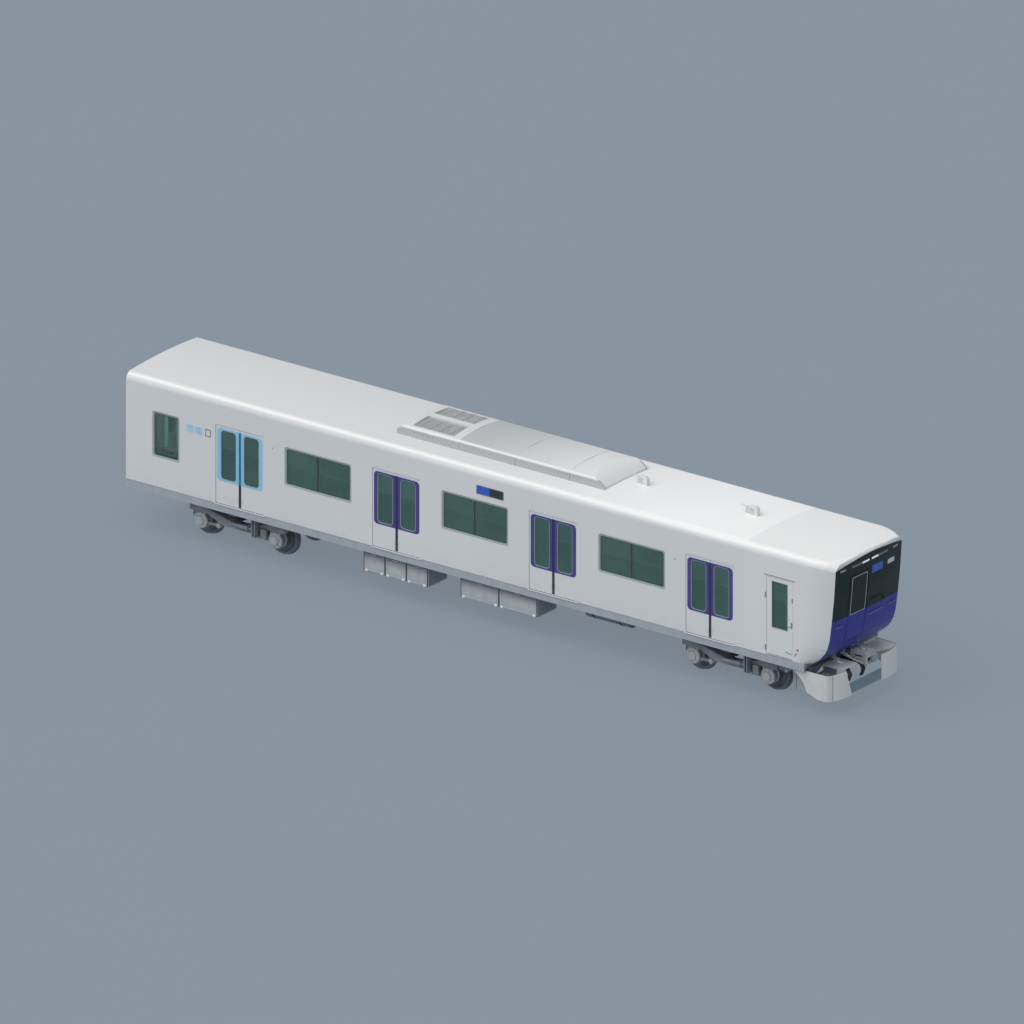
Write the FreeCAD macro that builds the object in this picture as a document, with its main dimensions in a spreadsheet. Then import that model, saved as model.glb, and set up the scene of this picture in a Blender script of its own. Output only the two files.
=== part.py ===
import FreeCAD, Part
import math
import os
import Sketcher

# Single metro cab car: a 20 m body on two four-wheel bogies. X runs along the car with the cab
# towards +X, Z is up from the lowest point of the wheel flanges, and the origin is under the
# middle of the car. Millimetres throughout.

DIMENSIONS = {
    # body shell
    "half_width": 1400, "rear_end_x": -9815, "cab_seam_x": 7500, "sill_front_x": 9170,
    "sill_low_z": 1010, "floor_z": 1200, "floor_thick": 50, "wall_thick": 120,
    "end_wall_thick": 100, "door_head_z": 3100, "shoulder_z": 3560, "shoulder_y": 1190,
    "shoulder_top_z": 3758, "shoulder_radius": 199, "crown_z": 3805, "crown_radius": 16000,
    "roof_thick": 110,
    # saloon doors, each a pair of leaves that run into pockets in the walls
    "door_first_x": -6635, "door_pitch": 4391, "doorway_half": 676,
    "leaf_width": 684, "leaf_gap": 4, "leaf_low_z": 1212, "leaf_high_z": 3140,
    "leaf_outer_y": 1384, "leaf_thick": 35, "slot_outer_y": 1390, "slot_inner_y": 1343,
    "slot_reach": 1250, "slot_top_z": 3150, "leaf_window_inner": 105, "leaf_window_width": 430,
    "leaf_window_low_z": 1800, "leaf_window_high_z": 2990, "leaf_window_radius": 90,
    "leaf_skin": 8, "threshold_half": 700, "threshold_lip": 8, "threshold_high": 21,
    # side windows
    "window_first_x": -4437, "window_pitch": 4395, "window_width": 1870,
    "window_low_z": 2080, "window_high_z": 3010, "window_radius": 60,
    "rear_window_x": -8698, "rear_window_width": 762, "rear_window_low_z": 1910,
    "skin_thick": 10, "frame_width": 38, "frame_depth": 46, "post_half": 22,
    "glass_thick": 8, "glass_set_back": 16,
    # cab
    "mask_half_width": 1237, "mask_bulge": 55, "corner_run": 680, "cab_wall_thick": 110,
    "cab_door_rear_x": 8126, "cab_door_front_x": 8872, "cab_door_thick": 50,
    "gutter_z": 3128, "gutter_high": 18, "gutter_lip": 10, "gutter_overrun": 62,
    "cab_window_rear_x": 8286, "cab_window_front_x": 8709, "cab_window_low_z": 1900,
    "cab_window_high_z": 3000, "screen_low_z": 2300, "mask_top_corner_z": 3556,
    "mask_top_centre_z": 3672, "nose_arc_radius": 850, "nose_arc_x": 8934, "nose_arc_z": 1976,
    "nose_join_z": 1850, "brow_start_z": 3640, "brow_depth": 300, "roof_drop": 70,
    "exit_door_low_z": 1640, "exit_door_high_z": 3290, "exit_door_near_y": -700,
    "exit_door_far_y": -30, "exit_door_thick": 45, "exit_door_gap": 14,
    "lamp_low_z": 3475, "lamp_high_z": 3527, "lamp_depth": 20, "cab_ceiling_z": 3600,
    "cab_ceiling_bevel": 160,
    # air-conditioning unit and antennas
    "ac_rear_x": -2674, "ac_front_x": 3140, "ac_half_width": 800, "ac_crown_z": 4072,
    "ac_edge_z": 4020, "ac_edge_radius": 80, "ac_nose": 570, "ac_tail": 260,
    "ac_joint": 10, "grille_rear_x": -2310, "grille_front_x": -1170, "grille_inner_y": 100,
    "grille_outer_y": 680, "slat_pitch": 92, "slat_width": 50,
    "antenna_one_x": 3670, "antenna_two_x": 6770, "antenna_width": 100,
    # bogies
    "bogie_rear_x": -7060, "bogie_front_x": 6737, "half_wheelbase": 1050, "axle_z": 435,
    "tread_radius": 410, "flange_radius": 435, "wheel_back_y": 495, "wheel_face_y": 620,
    "flange_thick": 35, "axle_radius": 80, "journal_radius": 60, "journal_end_y": 698,
    "drum_radius": 190,
    "drum_inner_y": 700, "drum_outer_y": 905, "frame_mid_y": 850, "frame_half_width": 70,
    "frame_reach": 1330, "frame_well_z": 620, "frame_well_half": 230,
    "frame_end_run": 430, "frame_end_length": 480, "frame_top_rise": 345, "frame_low_rise": 215,
    "link_eye_run": 550, "link_arm_reach": 440, "transom_run": 300, "transom_half": 70,
    "damper_z": 640, "damper_out": 230, "damper_rear": 70, "damper_front": 430,
    "damper_radius": 50, "damper_rod_run": 540, "damper_rod_radius": 24, "damper_foot": 36,
    "damper_foot_run": 250, "hanger_run": 525, "hanger_gap": 70, "hanger_thick": 30,
    "brake_box_run": 690, "brake_box_long": 155,
    "guard_run": 1565, "guard_rise": 250, "guard_low_z": 150, "guard_y": 500, "guard_thick": 60,
    "guard_plate_run": 360, "guard_plate_thick": 12, "guard_arm_y": 800, "guard_arm_thick": 80,
    "air_spring_y": 900, "air_spring_radius": 265, "spring_foot_radius": 120, "spring_bag_z": 735,
    "motor_run": 600, "motor_radius": 200, "motor_half": 340, "bolster_low_z": 985,
    "pivot_radius": 95, "pivot_drop": 330,
    # underfloor
    "box_low_z": 500, "box_high_z": 1040, "box_outer_y": 1300, "box_inner_y": 580,
    "tank_radius": 200, "tank_z": 840, "tank_y": -750, "tank_rear_x": 2670, "tank_front_x": 3970,
    "tank_dish": 40, "tank_end_radius": 150, "tank_strap_one": 250, "tank_strap_two": 1000,
    "tank_strap_width": 50, "box_bevel": 25, "box_one_rear_x": -3223, "box_one_front_x": -1432,
    "box_two_rear_x": -507, "box_two_front_x": 1634, "box_three_rear_x": -3400,
    "box_three_front_x": -1200, "box_four_rear_x": -300, "box_four_front_x": 1900,
    "box_five_rear_x": 2600, "box_five_front_x": 3900, "box_five_inset": 80,
    # ends
    "coupler_z": 1130, "coupler_reach": 10070, "head_half": 165, "head_run": 520,
    "head_below": 140, "head_above": 155, "face_high": 70, "face_run": 90, "face_lip": 35,
    "face_plate": 50, "wedge_half": 60, "shank_half": 75, "shank_below": 59, "shank_above": 60,
    "skirt_rear_x": 8880, "skirt_low_z": 390, "skirt_bend_x": 9730, "skirt_front_x": 9838,
    "skirt_corner_y": 1190, "skirt_inner_y": 520, "skirt_thick": 14, "skirt_inset": 75,
    "skirt_bend_inset": 100, "skirt_nose": 77, "skirt_bend_radius": 200,
    "skirt_nose_radius": 1350, "skirt_foot_run": 660, "skirt_edge_radius": 700,
    "skirt_slant_y": 594, "skirt_slant_run": 226, "skirt_middle_low": 430,
    "skirt_middle_high": 680, "skirt_middle_x": 9893, "beam_half": 1185, "carrier_half": 1200,
    "step_z": 1000, "step_thick": 20, "plate_z": 1040, "plate_inner_y": 260,
    "plate_outer_y": 800, "plate_front_x": 9830, "tread_z": 920, "tread_outer_y": 1150,
    "bellows_half_width": 560, "bellows_high_z": 3260, "end_doorway_half": 400,
    # inside
    "bulkhead_thick": 40, "bulkhead_door_half": 350, "bulkhead_pane_inner_y": 500,
    "bulkhead_pane_outer_y": 1100, "desk_rear_x": 8880, "desk_front_x": 9500, "desk_inner_y": 20,
    "desk_width": 1050, "driver_x": 8640, "driver_y": 350, "driver_half": 210,
    "seat_height": 450, "seat_deep": 560, "seat_back_high": 900, "seat_end_gap": 60,
    "pole_gap": 30, "pole_y": 700, "pole_radius": 17,
}

document = FreeCAD.newDocument("MetroCar")
sheet = document.addObject("Spreadsheet::Sheet", "dims")
for row, (alias, value) in enumerate(DIMENSIONS.items(), start=1):
    sheet.set("A%d" % row, alias)
    sheet.set("B%d" % row, str(value))
    sheet.setAlias("B%d" % row, alias)
document.recompute()

ORIGIN_PLANES = {"xy": "XY_Plane", "xz": "XZ_Plane", "yz": "YZ_Plane"}
sub_parts = []


def size(alias):
    """The sheet's value of one driving dimension."""
    return float(getattr(sheet, alias))


def bound(text):
    """An expression with every alias pointed at the sheet."""
    words = []
    for word in str(text).replace("(", " ( ").replace(")", " ) ").split():
        sign = "-" if word.startswith("-") and word[1:] in DIMENSIONS else ""
        bare = word[1:] if sign else word
        words.append(sign + "dims." + bare if bare in DIMENSIONS else word)
    return " ".join(words)


def number(text):
    """The present value of an expression, in millimetres."""
    return float(sheet.evalExpression(bound(text)))


def span(text_range):
    low, high = text_range
    return bound("( %s ) - ( %s )" % (high, low))


def block(name, x, y, z):
    """A box between two expressions on each axis."""
    solid = document.addObject("Part::Box", name)
    solid.setExpression("Length", span(x))
    solid.setExpression("Width", span(y))
    solid.setExpression("Height", span(z))
    for axis, edges in (("x", x), ("y", y), ("z", z)):
        solid.setExpression("Placement.Base." + axis, bound(edges[0]))
    return solid


TURNS = {
    "x": FreeCAD.Rotation(FreeCAD.Vector(0, 1, 0), 90),
    "y": FreeCAD.Rotation(FreeCAD.Vector(1, 0, 0), -90),
    "z": FreeCAD.Rotation(),
}


def rod(name, axis, start, end, radius, across, sides=0):
    """A cylinder along an axis from start to end; across holds its other two places.

    A pair of radii makes it a cone, and a number of sides a prism.
    """
    kind = "Part::Prism" if sides else "Part::Cone" if isinstance(radius, tuple) else "Part::Cylinder"
    solid = document.addObject(kind, name)
    solid.Placement = FreeCAD.Placement(FreeCAD.Vector(), TURNS[axis])
    if kind == "Part::Prism":
        solid.Polygon = sides
        solid.setExpression("Circumradius", bound(radius))
    elif kind == "Part::Cone":
        solid.setExpression("Radius1", bound(radius[0]))
        solid.setExpression("Radius2", bound(radius[1]))
    else:
        solid.setExpression("Radius", bound(radius))
    solid.setExpression("Height", span((start, end)))
    places = dict(zip([letter for letter in "xyz" if letter != axis], across))
    places[axis] = start
    for letter, place in places.items():
        solid.setExpression("Placement.Base." + letter, bound(place))
    return solid


def fuse(name, solids):
    joined = document.addObject("Part::MultiFuse", name)
    joined.Shapes = solids
    joined.Refine = True
    return joined


def together(name, solids):
    """Like pieces of one body that share a file but do not touch."""
    group = document.addObject("Part::Compound", name)
    group.Links = solids
    return group


def cut(name, base, tools):
    trimmed = document.addObject("Part::Cut", name)
    trimmed.Base = base
    trimmed.Tool = tools[0] if len(tools) == 1 else together(name + "_tools", tools)
    return trimmed


def common(name, first, second):
    shared = document.addObject("Part::Common", name)
    shared.Base = first
    shared.Tool = second
    return shared


def mirrored(name, source, normal=(0, 1, 0)):
    twin = document.addObject("Part::Mirroring", name)
    twin.Source = source
    twin.Base = FreeCAD.Vector()
    twin.Normal = FreeCAD.Vector(*normal)
    return twin


def shaped(name, shape):
    feature = document.addObject("Part::Feature", name)
    feature.Shape = shape
    return feature


def sketch_on(body, plane, corners, arcs=None):
    """A closed outline through corners, whose edge number i is an arc of radius arcs[i].

    A negative radius curves the other way. Every corner is held by two dimensions from the sheet.
    """
    arcs = arcs or {}
    sketch = body.newObject("Sketcher::SketchObject", body.Name + "_outline")
    support = [item for item in body.Origin.OriginFeatures if item.Role == ORIGIN_PLANES[plane]]
    sketch.AttachmentSupport = [(support[0], "")]
    sketch.MapMode = "FlatFace"
    points = [FreeCAD.Vector(number(u), number(v), 0) for u, v in corners]
    ends = []
    for index, start in enumerate(points):
        finish = points[(index + 1) % len(points)]
        if index not in arcs:
            sketch.addGeometry(Part.LineSegment(start, finish), False)
            ends.append((1, 2))
            continue
        radius = number(arcs[index])
        chord = finish - start
        side = FreeCAD.Vector(-chord.y, chord.x, 0).normalize()
        reach = math.sqrt(max(radius ** 2 - (chord.Length / 2) ** 2, 0.0))
        centre = (start + finish) * 0.5 + side * reach * (1 if radius > 0 else -1)
        first, last = (start, finish) if radius > 0 else (finish, start)
        circle = Part.Circle(centre, FreeCAD.Vector(0, 0, 1), abs(radius))
        angles = [math.atan2(p.y - centre.y, p.x - centre.x) for p in (first, last)]
        sketch.addGeometry(Part.ArcOfCircle(circle, angles[0], angles[1]), False)
        ends.append((1, 2) if radius > 0 else (2, 1))
    count = len(points)
    for index in range(count):
        after = (index + 1) % count
        sketch.addConstraint(
            Sketcher.Constraint("Coincident", index, ends[index][1], after, ends[after][0])
        )
    for index, (u, v) in enumerate(corners):
        for kind, text, value in (("DistanceX", u, points[index].x), ("DistanceY", v, points[index].y)):
            held = sketch.addConstraint(Sketcher.Constraint(kind, -1, 1, index, ends[index][0], value))
            sketch.setExpression("Constraints[%d]" % held, bound(text))
        if index in arcs:
            radius = abs(number(arcs[index]))
            held = sketch.addConstraint(Sketcher.Constraint("Radius", index, radius))
            sketch.setExpression("Constraints[%d]" % held, bound(str(arcs[index]).lstrip("-")))
    return sketch


def pad_body(name, plane, corners, length, offset="0", arcs=None):
    """A body padded from an outline on an origin plane, then shifted along that plane's normal."""
    body = document.addObject("PartDesign::Body", name)
    sketch = sketch_on(body, plane, corners, arcs)
    pad = body.newObject("PartDesign::Pad", name + "_pad")
    pad.Profile = sketch
    pad.setExpression("Length", bound(length))
    pad.Reversed = plane == "xz"
    body.Tip = pad
    axis = {"xy": "z", "xz": "y", "yz": "x"}[plane]
    body.setExpression("Placement.Base." + axis, bound(offset))
    return body


def rounded(name, source, radius, edge_test, kind="Part::Fillet"):
    """Rounds, or with a chamfer bevels, the edges that edge_test picks."""
    document.recompute()
    picked = [n for n, edge in enumerate(source.Shape.Edges, start=1) if edge_test(edge)]
    eased = document.addObject(kind, name)
    eased.Base = source
    eased.Edges = [(n, number(radius), number(radius)) for n in picked]
    return eased


def along(letter):
    """Picks straight edges that run along one axis."""
    def test(edge):
        if len(edge.Vertexes) != 2:
            return False
        run = edge.Vertexes[1].Point - edge.Vertexes[0].Point
        return run.Length > 0 and abs(getattr(run, letter)) > 0.999 * run.Length
    return test


def keep(feature, label):
    """Enters a finished sub-part under the name of its file."""
    feature.Label = label
    sub_parts.append(feature)
    return feature


def door_centre(index):
    return "door_first_x + %d * door_pitch" % index


def window_centre(index):
    return "window_first_x + %d * window_pitch" % index


DOOR_COUNT = 4
WINDOW_COUNT = 3

# Roof outline: upright side, shoulder arc and a nearly flat crown
half_outline = [
    ("half_width", "door_head_z"), ("half_width", "shoulder_z"),
    ("shoulder_y", "shoulder_top_z"), ("-shoulder_y", "shoulder_top_z"),
    ("-half_width", "shoulder_z"), ("-half_width", "door_head_z"),
]


def roof_envelope(name):
    return pad_body(
        name, "yz", half_outline, "cab_seam_x - rear_end_x - end_wall_thick",
        "rear_end_x + end_wall_thick",
        {1: "shoulder_radius", 2: "crown_radius", 3: "shoulder_radius"},
    )


def door_slots(name, low, high):
    """The pockets that the leaves run in, for one side."""
    slots = []
    for index in range(DOOR_COUNT):
        centre = door_centre(index)
        slots.append(block(
            "%s_%d" % (name, index),
            (centre + " - slot_reach", centre + " + slot_reach"),
            ("slot_inner_y", "slot_outer_y"), (low, high),
        ))
    return slots


def both_sides(name, tools):
    near = together(name + "_left", tools)
    return [near, mirrored(name + "_right", near)]


def make_roof():
    envelope = roof_envelope("roof_envelope")
    inside = pad_body(
        "roof_inside", "yz",
        [
            ("half_width - wall_thick", "door_head_z - 10"), ("half_width - wall_thick", "shoulder_z - 90"),
            ("shoulder_y - 110", "shoulder_top_z - roof_thick"),
            ("-shoulder_y + 110", "shoulder_top_z - roof_thick"),
            ("-half_width + wall_thick", "shoulder_z - 90"), ("-half_width + wall_thick", "door_head_z - 10"),
        ],
        "cab_seam_x - rear_end_x", "rear_end_x",
    )
    slots = both_sides("roof_slots", door_slots("roof_slot", "door_head_z - 10", "slot_top_z"))
    keep(cut("roof_shell", envelope, [inside] + slots), "roof")


def make_side_wall(side):
    """Piers between the doorways, each cut for its window and for the door pockets."""
    edges = ["rear_end_x + end_wall_thick"]
    for index in range(DOOR_COUNT):
        centre = door_centre(index)
        edges += [centre + " - doorway_half", centre + " + doorway_half"]
    edges.append("cab_seam_x")
    piers = []
    for index in range(0, len(edges), 2):
        piers.append(block(
            "pier_%s_%d" % (side, index), (edges[index], edges[index + 1]),
            ("half_width - wall_thick", "half_width"), ("floor_z", "door_head_z"),
        ))
    windows = window_holes("hole_" + side)
    slots = door_slots("wall_slot_" + side, "floor_z - 10", "door_head_z + 10")
    wall = cut("wall_" + side, together("piers_" + side, piers), windows + slots)
    placed(wall, side, "side_wall_" + side)


def placed(feature, side, label):
    """Keeps a piece drawn on the +Y side, or its mirror image."""
    if side == "right":
        feature = mirrored(label.replace("-", "_") + "_mirror", feature)
    return keep(feature, label)


def rounded_slab(name, x, y, z, radius):
    """An upright slab across the car's side with rounded corners."""
    corners = [(x[0], z[0]), (x[1], z[0]), (x[1], z[1]), (x[0], z[1])]
    slab = pad_body(name, "xz", corners, "( %s ) - ( %s )" % (y[1], y[0]), y[0])
    return rounded(name + "_round", slab, radius, along("y"))


def window_place(index, inset):
    """The x and z ranges of a side window, the last of them the small one at the rear."""
    centre, width, low = window_centre(index), "window_width", "window_low_z"
    if index == WINDOW_COUNT:
        centre, width, low = "rear_window_x", "rear_window_width", "rear_window_low_z"
    x = ("%s - %s / 2 + ( %s )" % (centre, width, inset), "%s + %s / 2 - ( %s )" % (centre, width, inset))
    return x, ("%s + ( %s )" % (low, inset), "window_high_z - ( %s )" % inset)


def window_holes(name):
    """Openings with round corners in the outer skin and square ones behind it, for the frames."""
    holes = []
    for index in range(WINDOW_COUNT + 1):
        x, z = window_place(index, "0")
        tag = "%s_%d" % (name, index)
        skin = rounded_slab(tag + "_skin", x, ("half_width - skin_thick - 2", "half_width + 10"), z,
                            "window_radius")
        bay = block(tag + "_bay", x, ("half_width - wall_thick - 10", "half_width - skin_thick"), z)
        holes.append(fuse(tag, [skin, bay]))
    return holes


def make_windows(side):
    """Frames with a middle post, and the panes that they hold."""
    frames = []
    panes = []
    for index in range(WINDOW_COUNT + 1):
        tag = "%s_%d" % (side, index)
        outer_x, outer_z = window_place(index, "1")
        inner_x, inner_z = window_place(index, "frame_width")
        rim = block("window_rim_" + tag, outer_x,
                    ("half_width - frame_depth", "half_width - skin_thick - 1"), outer_z)
        light = block("window_light_" + tag, inner_x,
                      ("half_width - frame_depth - 5", "half_width"), inner_z)
        ring = cut("window_ring_" + tag, rim, [light])
        glass_x, glass_z = window_place(index, "frame_width + 0.5")
        glass_y = ("half_width - glass_set_back - glass_thick", "half_width - glass_set_back")
        if index == WINDOW_COUNT:
            frames.append(ring)
            panes.append(block("pane_" + tag, glass_x, glass_y, glass_z))
            continue
        middle = window_centre(index)
        post = block("window_post_" + tag, (middle + " - post_half", middle + " + post_half"),
                     ("half_width - frame_depth", "half_width - skin_thick - 3"),
                     (inner_z[0] + " - 5", inner_z[1] + " + 5"))
        frames.append(fuse("window_frame_" + tag, [ring, post]))
        halves = ((glass_x[0], middle + " - post_half - 0.5"), (middle + " + post_half + 0.5", glass_x[1]))
        for number_of_half, x in enumerate(halves):
            panes.append(block("pane_%s_%d" % (tag, number_of_half), x, glass_y, glass_z))
    placed(together("frames_" + side, frames), side, "window_frames_" + side)
    placed(together("panes_" + side, panes), side, "side_glass_" + side)


def make_leaves(side, way):
    """Four leaves of one side that slide the same way: way is 1 towards the cab, -1 to the rear.

    Each window has round corners in the outer skin and a square bay behind it for its pane.
    """
    leaves = []
    panes = []
    z = ("leaf_window_low_z", "leaf_window_high_z")
    for index in range(DOOR_COUNT):
        middle = door_centre(index)

        def reach(distance):
            return "%s + %d * ( %s )" % (middle, way, distance)

        def ordered(near, far):
            return (reach(near), reach(far)) if way > 0 else (reach(far), reach(near))

        tag = "%s_%s_%d" % (side, "front" if way > 0 else "rear", index)
        panel = block("leaf_" + tag, ordered("leaf_gap", "leaf_gap + leaf_width"),
                      ("leaf_outer_y - leaf_thick", "leaf_outer_y"), ("leaf_low_z", "leaf_high_z"))
        near = "leaf_gap + leaf_window_inner"
        far = near + " + leaf_window_width"
        skin = rounded_slab("leaf_skin_" + tag, ordered(near, far),
                            ("leaf_outer_y - leaf_skin - 2", "leaf_outer_y + 10"), z, "leaf_window_radius")
        bay = block("leaf_bay_" + tag, ordered(near, far),
                    ("leaf_outer_y - leaf_thick - 10", "leaf_outer_y - leaf_skin"), z)
        leaves.append(cut("leaf_cut_" + tag, panel, [fuse("leaf_hole_" + tag, [skin, bay])]))
        panes.append(block("leaf_pane_" + tag, ordered(near + " + 0.5", far + " - 0.5"),
                           ("leaf_outer_y - leaf_thick + 6", "leaf_outer_y - leaf_skin - 0.5"),
                           (z[0] + " + 0.5", z[1] + " - 0.5")))
    ending = "%s_%s" % (side, "front" if way > 0 else "rear")
    placed(together("leaves_" + ending, leaves), side, "door_leaves_" + ending)
    placed(together("leaf_panes_" + ending, panes), side, "door_glass_" + ending)


def make_underframe():
    rear = "rear_end_x"
    pieces = [block("floor_plate", (rear, "sill_front_x"), ("-half_width + 8", "half_width - 8"),
                    ("floor_z - floor_thick", "floor_z"))]
    for side in (1, -1):
        y = ("half_width - 70", "half_width - 8") if side > 0 else ("-half_width + 8", "-half_width + 70")
        pieces.append(block("sole_bar_%d" % side, (rear, "sill_front_x"), y,
                            ("sill_low_z", "floor_z - floor_thick + 5")))
    bearer_count = 16
    for index in range(bearer_count + 1):
        x = "rear_end_x + 60 + %d * ( sill_front_x - rear_end_x - 160 ) / %d" % (index, bearer_count)
        pieces.append(block("bearer_%d" % index, (x, x + " + 60"), ("-half_width + 60", "half_width - 60"),
                            ("box_high_z", "floor_z - floor_thick + 5")))
    for name in ("bogie_rear_x", "bogie_front_x"):
        pieces.append(block("bolster_" + name, (name + " - 330", name + " + 330"),
                            ("-half_width + 150", "half_width - 150"),
                            ("bolster_low_z", "floor_z - floor_thick + 5")))
        pieces.append(rod("pivot_" + name, "z", "bolster_low_z - pivot_drop", "bolster_low_z + 5",
                          "pivot_radius",
                          (name, "0")))
    for index in range(DOOR_COUNT):
        for side in (1, -1):
            x = ("%s - threshold_half" % door_centre(index), "%s + threshold_half" % door_centre(index))
            y = ("half_width - 20", "half_width + threshold_lip")
            if side < 0:
                y = ("-half_width - threshold_lip", "-half_width + 20")
            z = ("floor_z - 1 - threshold_high", "floor_z - 1")
            pieces.append(block("threshold_%d_%d" % (index, side), x, y, z))
    for index, (low, high) in enumerate((("rear_end_x", "rear_end_x + 1100"),
                                         ("sill_front_x - 1000", "sill_front_x"))):
        pieces.append(block("draft_sill_%d" % index, (low, high), ("-190", "190"),
                            ("coupler_z - 110", "floor_z - floor_thick + 5")))
    keep(fuse("underframe_body", pieces), "underframe")


def make_rear_end():
    wall = pad_body(
        "rear_wall_plate", "yz",
        [("half_width", "floor_z")] + half_outline[1:5] + [("-half_width", "floor_z")],
        "end_wall_thick", "rear_end_x",
        {1: "shoulder_radius", 2: "crown_radius", 3: "shoulder_radius"},
    )
    doorway = block("rear_doorway", ("rear_end_x - 10", "rear_end_x + end_wall_thick + 10"),
                    ("-end_doorway_half", "end_doorway_half"), ("floor_z - 10", "door_head_z - 20"))
    keep(cut("rear_wall_cut", wall, [doorway]), "rear_end_wall")

    leaf = block("end_door_leaf",
                 ("rear_end_x + end_wall_thick + 8", "rear_end_x + end_wall_thick + 44"),
                 ("-end_doorway_half - 30", "end_doorway_half + 20"), ("floor_z + 10", "door_head_z"))
    pane_y = ("-end_doorway_half + 110", "end_doorway_half - 110")
    pane_z = ("floor_z + 650", "door_head_z - 150")
    hole = block("end_door_hole",
                 ("rear_end_x + end_wall_thick", "rear_end_x + end_wall_thick + 50"), pane_y, pane_z)
    keep(cut("end_door_cut", leaf, [hole]), "rear_end_door")
    glass = block("end_door_pane",
                  ("rear_end_x + end_wall_thick + 20", "rear_end_x + end_wall_thick + 30"),
                  ("-end_doorway_half + 110.5", "end_doorway_half - 110.5"),
                  ("floor_z + 650.5", "door_head_z - 150.5"))
    keep(glass, "rear_end_door_glass")


def make_gangway():
    """A pleated bellows round the end doorway, closed by a face frame."""
    pleats = 5
    rings = []
    for index in range(pleats):
        low = "-coupler_reach + 45 + %d * ( coupler_reach + rear_end_x - 45 ) / %d" % (index, pleats)
        step = "( coupler_reach + rear_end_x - 45 ) / %d" % pleats
        rings.append(block("pleat_%d" % index, (low, "%s + 0.62 * %s" % (low, step)),
                           ("-bellows_half_width", "bellows_half_width"),
                           ("floor_z + 20", "bellows_high_z")))
        rings.append(block("fold_%d" % index, ("%s + 0.5 * %s" % (low, step), "%s + %s" % (low, step)),
                           ("-bellows_half_width + 35", "bellows_half_width - 35"),
                           ("floor_z + 55", "bellows_high_z - 35")))
    rings.append(block("gangway_face", ("-coupler_reach", "-coupler_reach + 45"),
                       ("-bellows_half_width + 20", "bellows_half_width - 20"),
                       ("floor_z + 10", "bellows_high_z - 20")))
    passage = block("gangway_passage", ("-coupler_reach - 10", "rear_end_x + 10"),
                    ("-end_doorway_half", "end_doorway_half"), ("floor_z + 90", "door_head_z - 20"))
    keep(cut("gangway_cut", fuse("gangway_rings", rings), [passage]), "gangway_bellows")


def nose_x(height):
    """Where the front of the car stands at a height: leaning, with a round chin and a brow."""
    join = size("nose_join_z")
    radius = size("nose_arc_radius")
    if height < join:
        return size("nose_arc_x") + math.sqrt(radius ** 2 - (size("nose_arc_z") - height) ** 2)
    rise = min(height, size("brow_start_z")) - join
    lean, straightening = 0.15, 2.79e-5
    place = nose_x(join - 1e-6) + lean * rise - straightening * rise ** 2
    over = (height - size("brow_start_z")) / (size("crown_z") - size("brow_start_z"))
    if over > 0:
        place -= size("brow_depth") * (1 - math.sqrt(max(0.0, 1 - min(over, 1.0) ** 2)))
    return place


def arc_middle(run, gap):
    """Half way along an arc that starts straight ahead and drifts sideways by gap over run."""
    radius = (run ** 2 + gap ** 2) / (2 * gap)
    half_turn = math.asin(min(1.0, run / radius)) / 2
    return radius * math.sin(half_turn), radius * (1 - math.cos(half_turn))


def corner_start(height):
    """Where the flat side ends and the front corner begins, at a height; never over the cab door."""
    return max(nose_x(height) - size("corner_run"), size("cab_door_front_x") + 25)


def plan_section(height, inset):
    """A level outline of the cab: flat sides, corners that curve in, and a bulged front."""
    side = size("half_width") - inset
    corner = size("mask_half_width") - inset
    start = corner_start(height)
    front = nose_x(height) - inset
    back = size("cab_seam_x") - 400
    ahead, inward = arc_middle(front - start, side - corner)

    def at(x, y):
        return FreeCAD.Vector(x, y, height)

    edges = [
        Part.LineSegment(at(back, -side), at(start, -side)),
        Part.Arc(at(start, -side), at(start + ahead, inward - side), at(front, -corner)),
        Part.Arc(at(front, -corner), at(front + size("mask_bulge"), 0), at(front, corner)),
        Part.Arc(at(front, corner), at(start + ahead, side - inward), at(start, side)),
        Part.LineSegment(at(start, side), at(back, side)),
        Part.LineSegment(at(back, side), at(back, -side)),
    ]
    return Part.Wire([edge.toShape() for edge in edges])


def cab_levels(inset, heights):
    """A solid through level outlines of the cab: swept where their shape stays, else lofted."""
    strips = []
    for low, high in zip(heights, heights[1:]):
        section = plan_section(low, inset)
        if corner_start(low) > size("cab_door_front_x") + 25:
            lean = FreeCAD.Vector(nose_x(high) - nose_x(low), 0, high - low)
            strips.append(Part.Face(section).extrude(lean))
        else:
            strips.append(Part.makeLoft([section, plan_section(high, inset)], True, True))
    solid = strips[0].multiFuse(strips[1:]) if len(strips) > 1 else strips[0]
    ahead = Part.makeBox(4000, 4000, 4000, FreeCAD.Vector(size("cab_seam_x"), -2000, 0))
    return solid.common(ahead)


def swept_profile(edges, place, direction):
    """An upright outline, drawn round the origin, swept both ways from a place."""
    length = 3000
    wire = Part.Wire([edge.toShape() for edge in edges])
    wire.translate(place - direction * length)
    return Part.Face(wire).extrude(direction * (2 * length))


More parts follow.
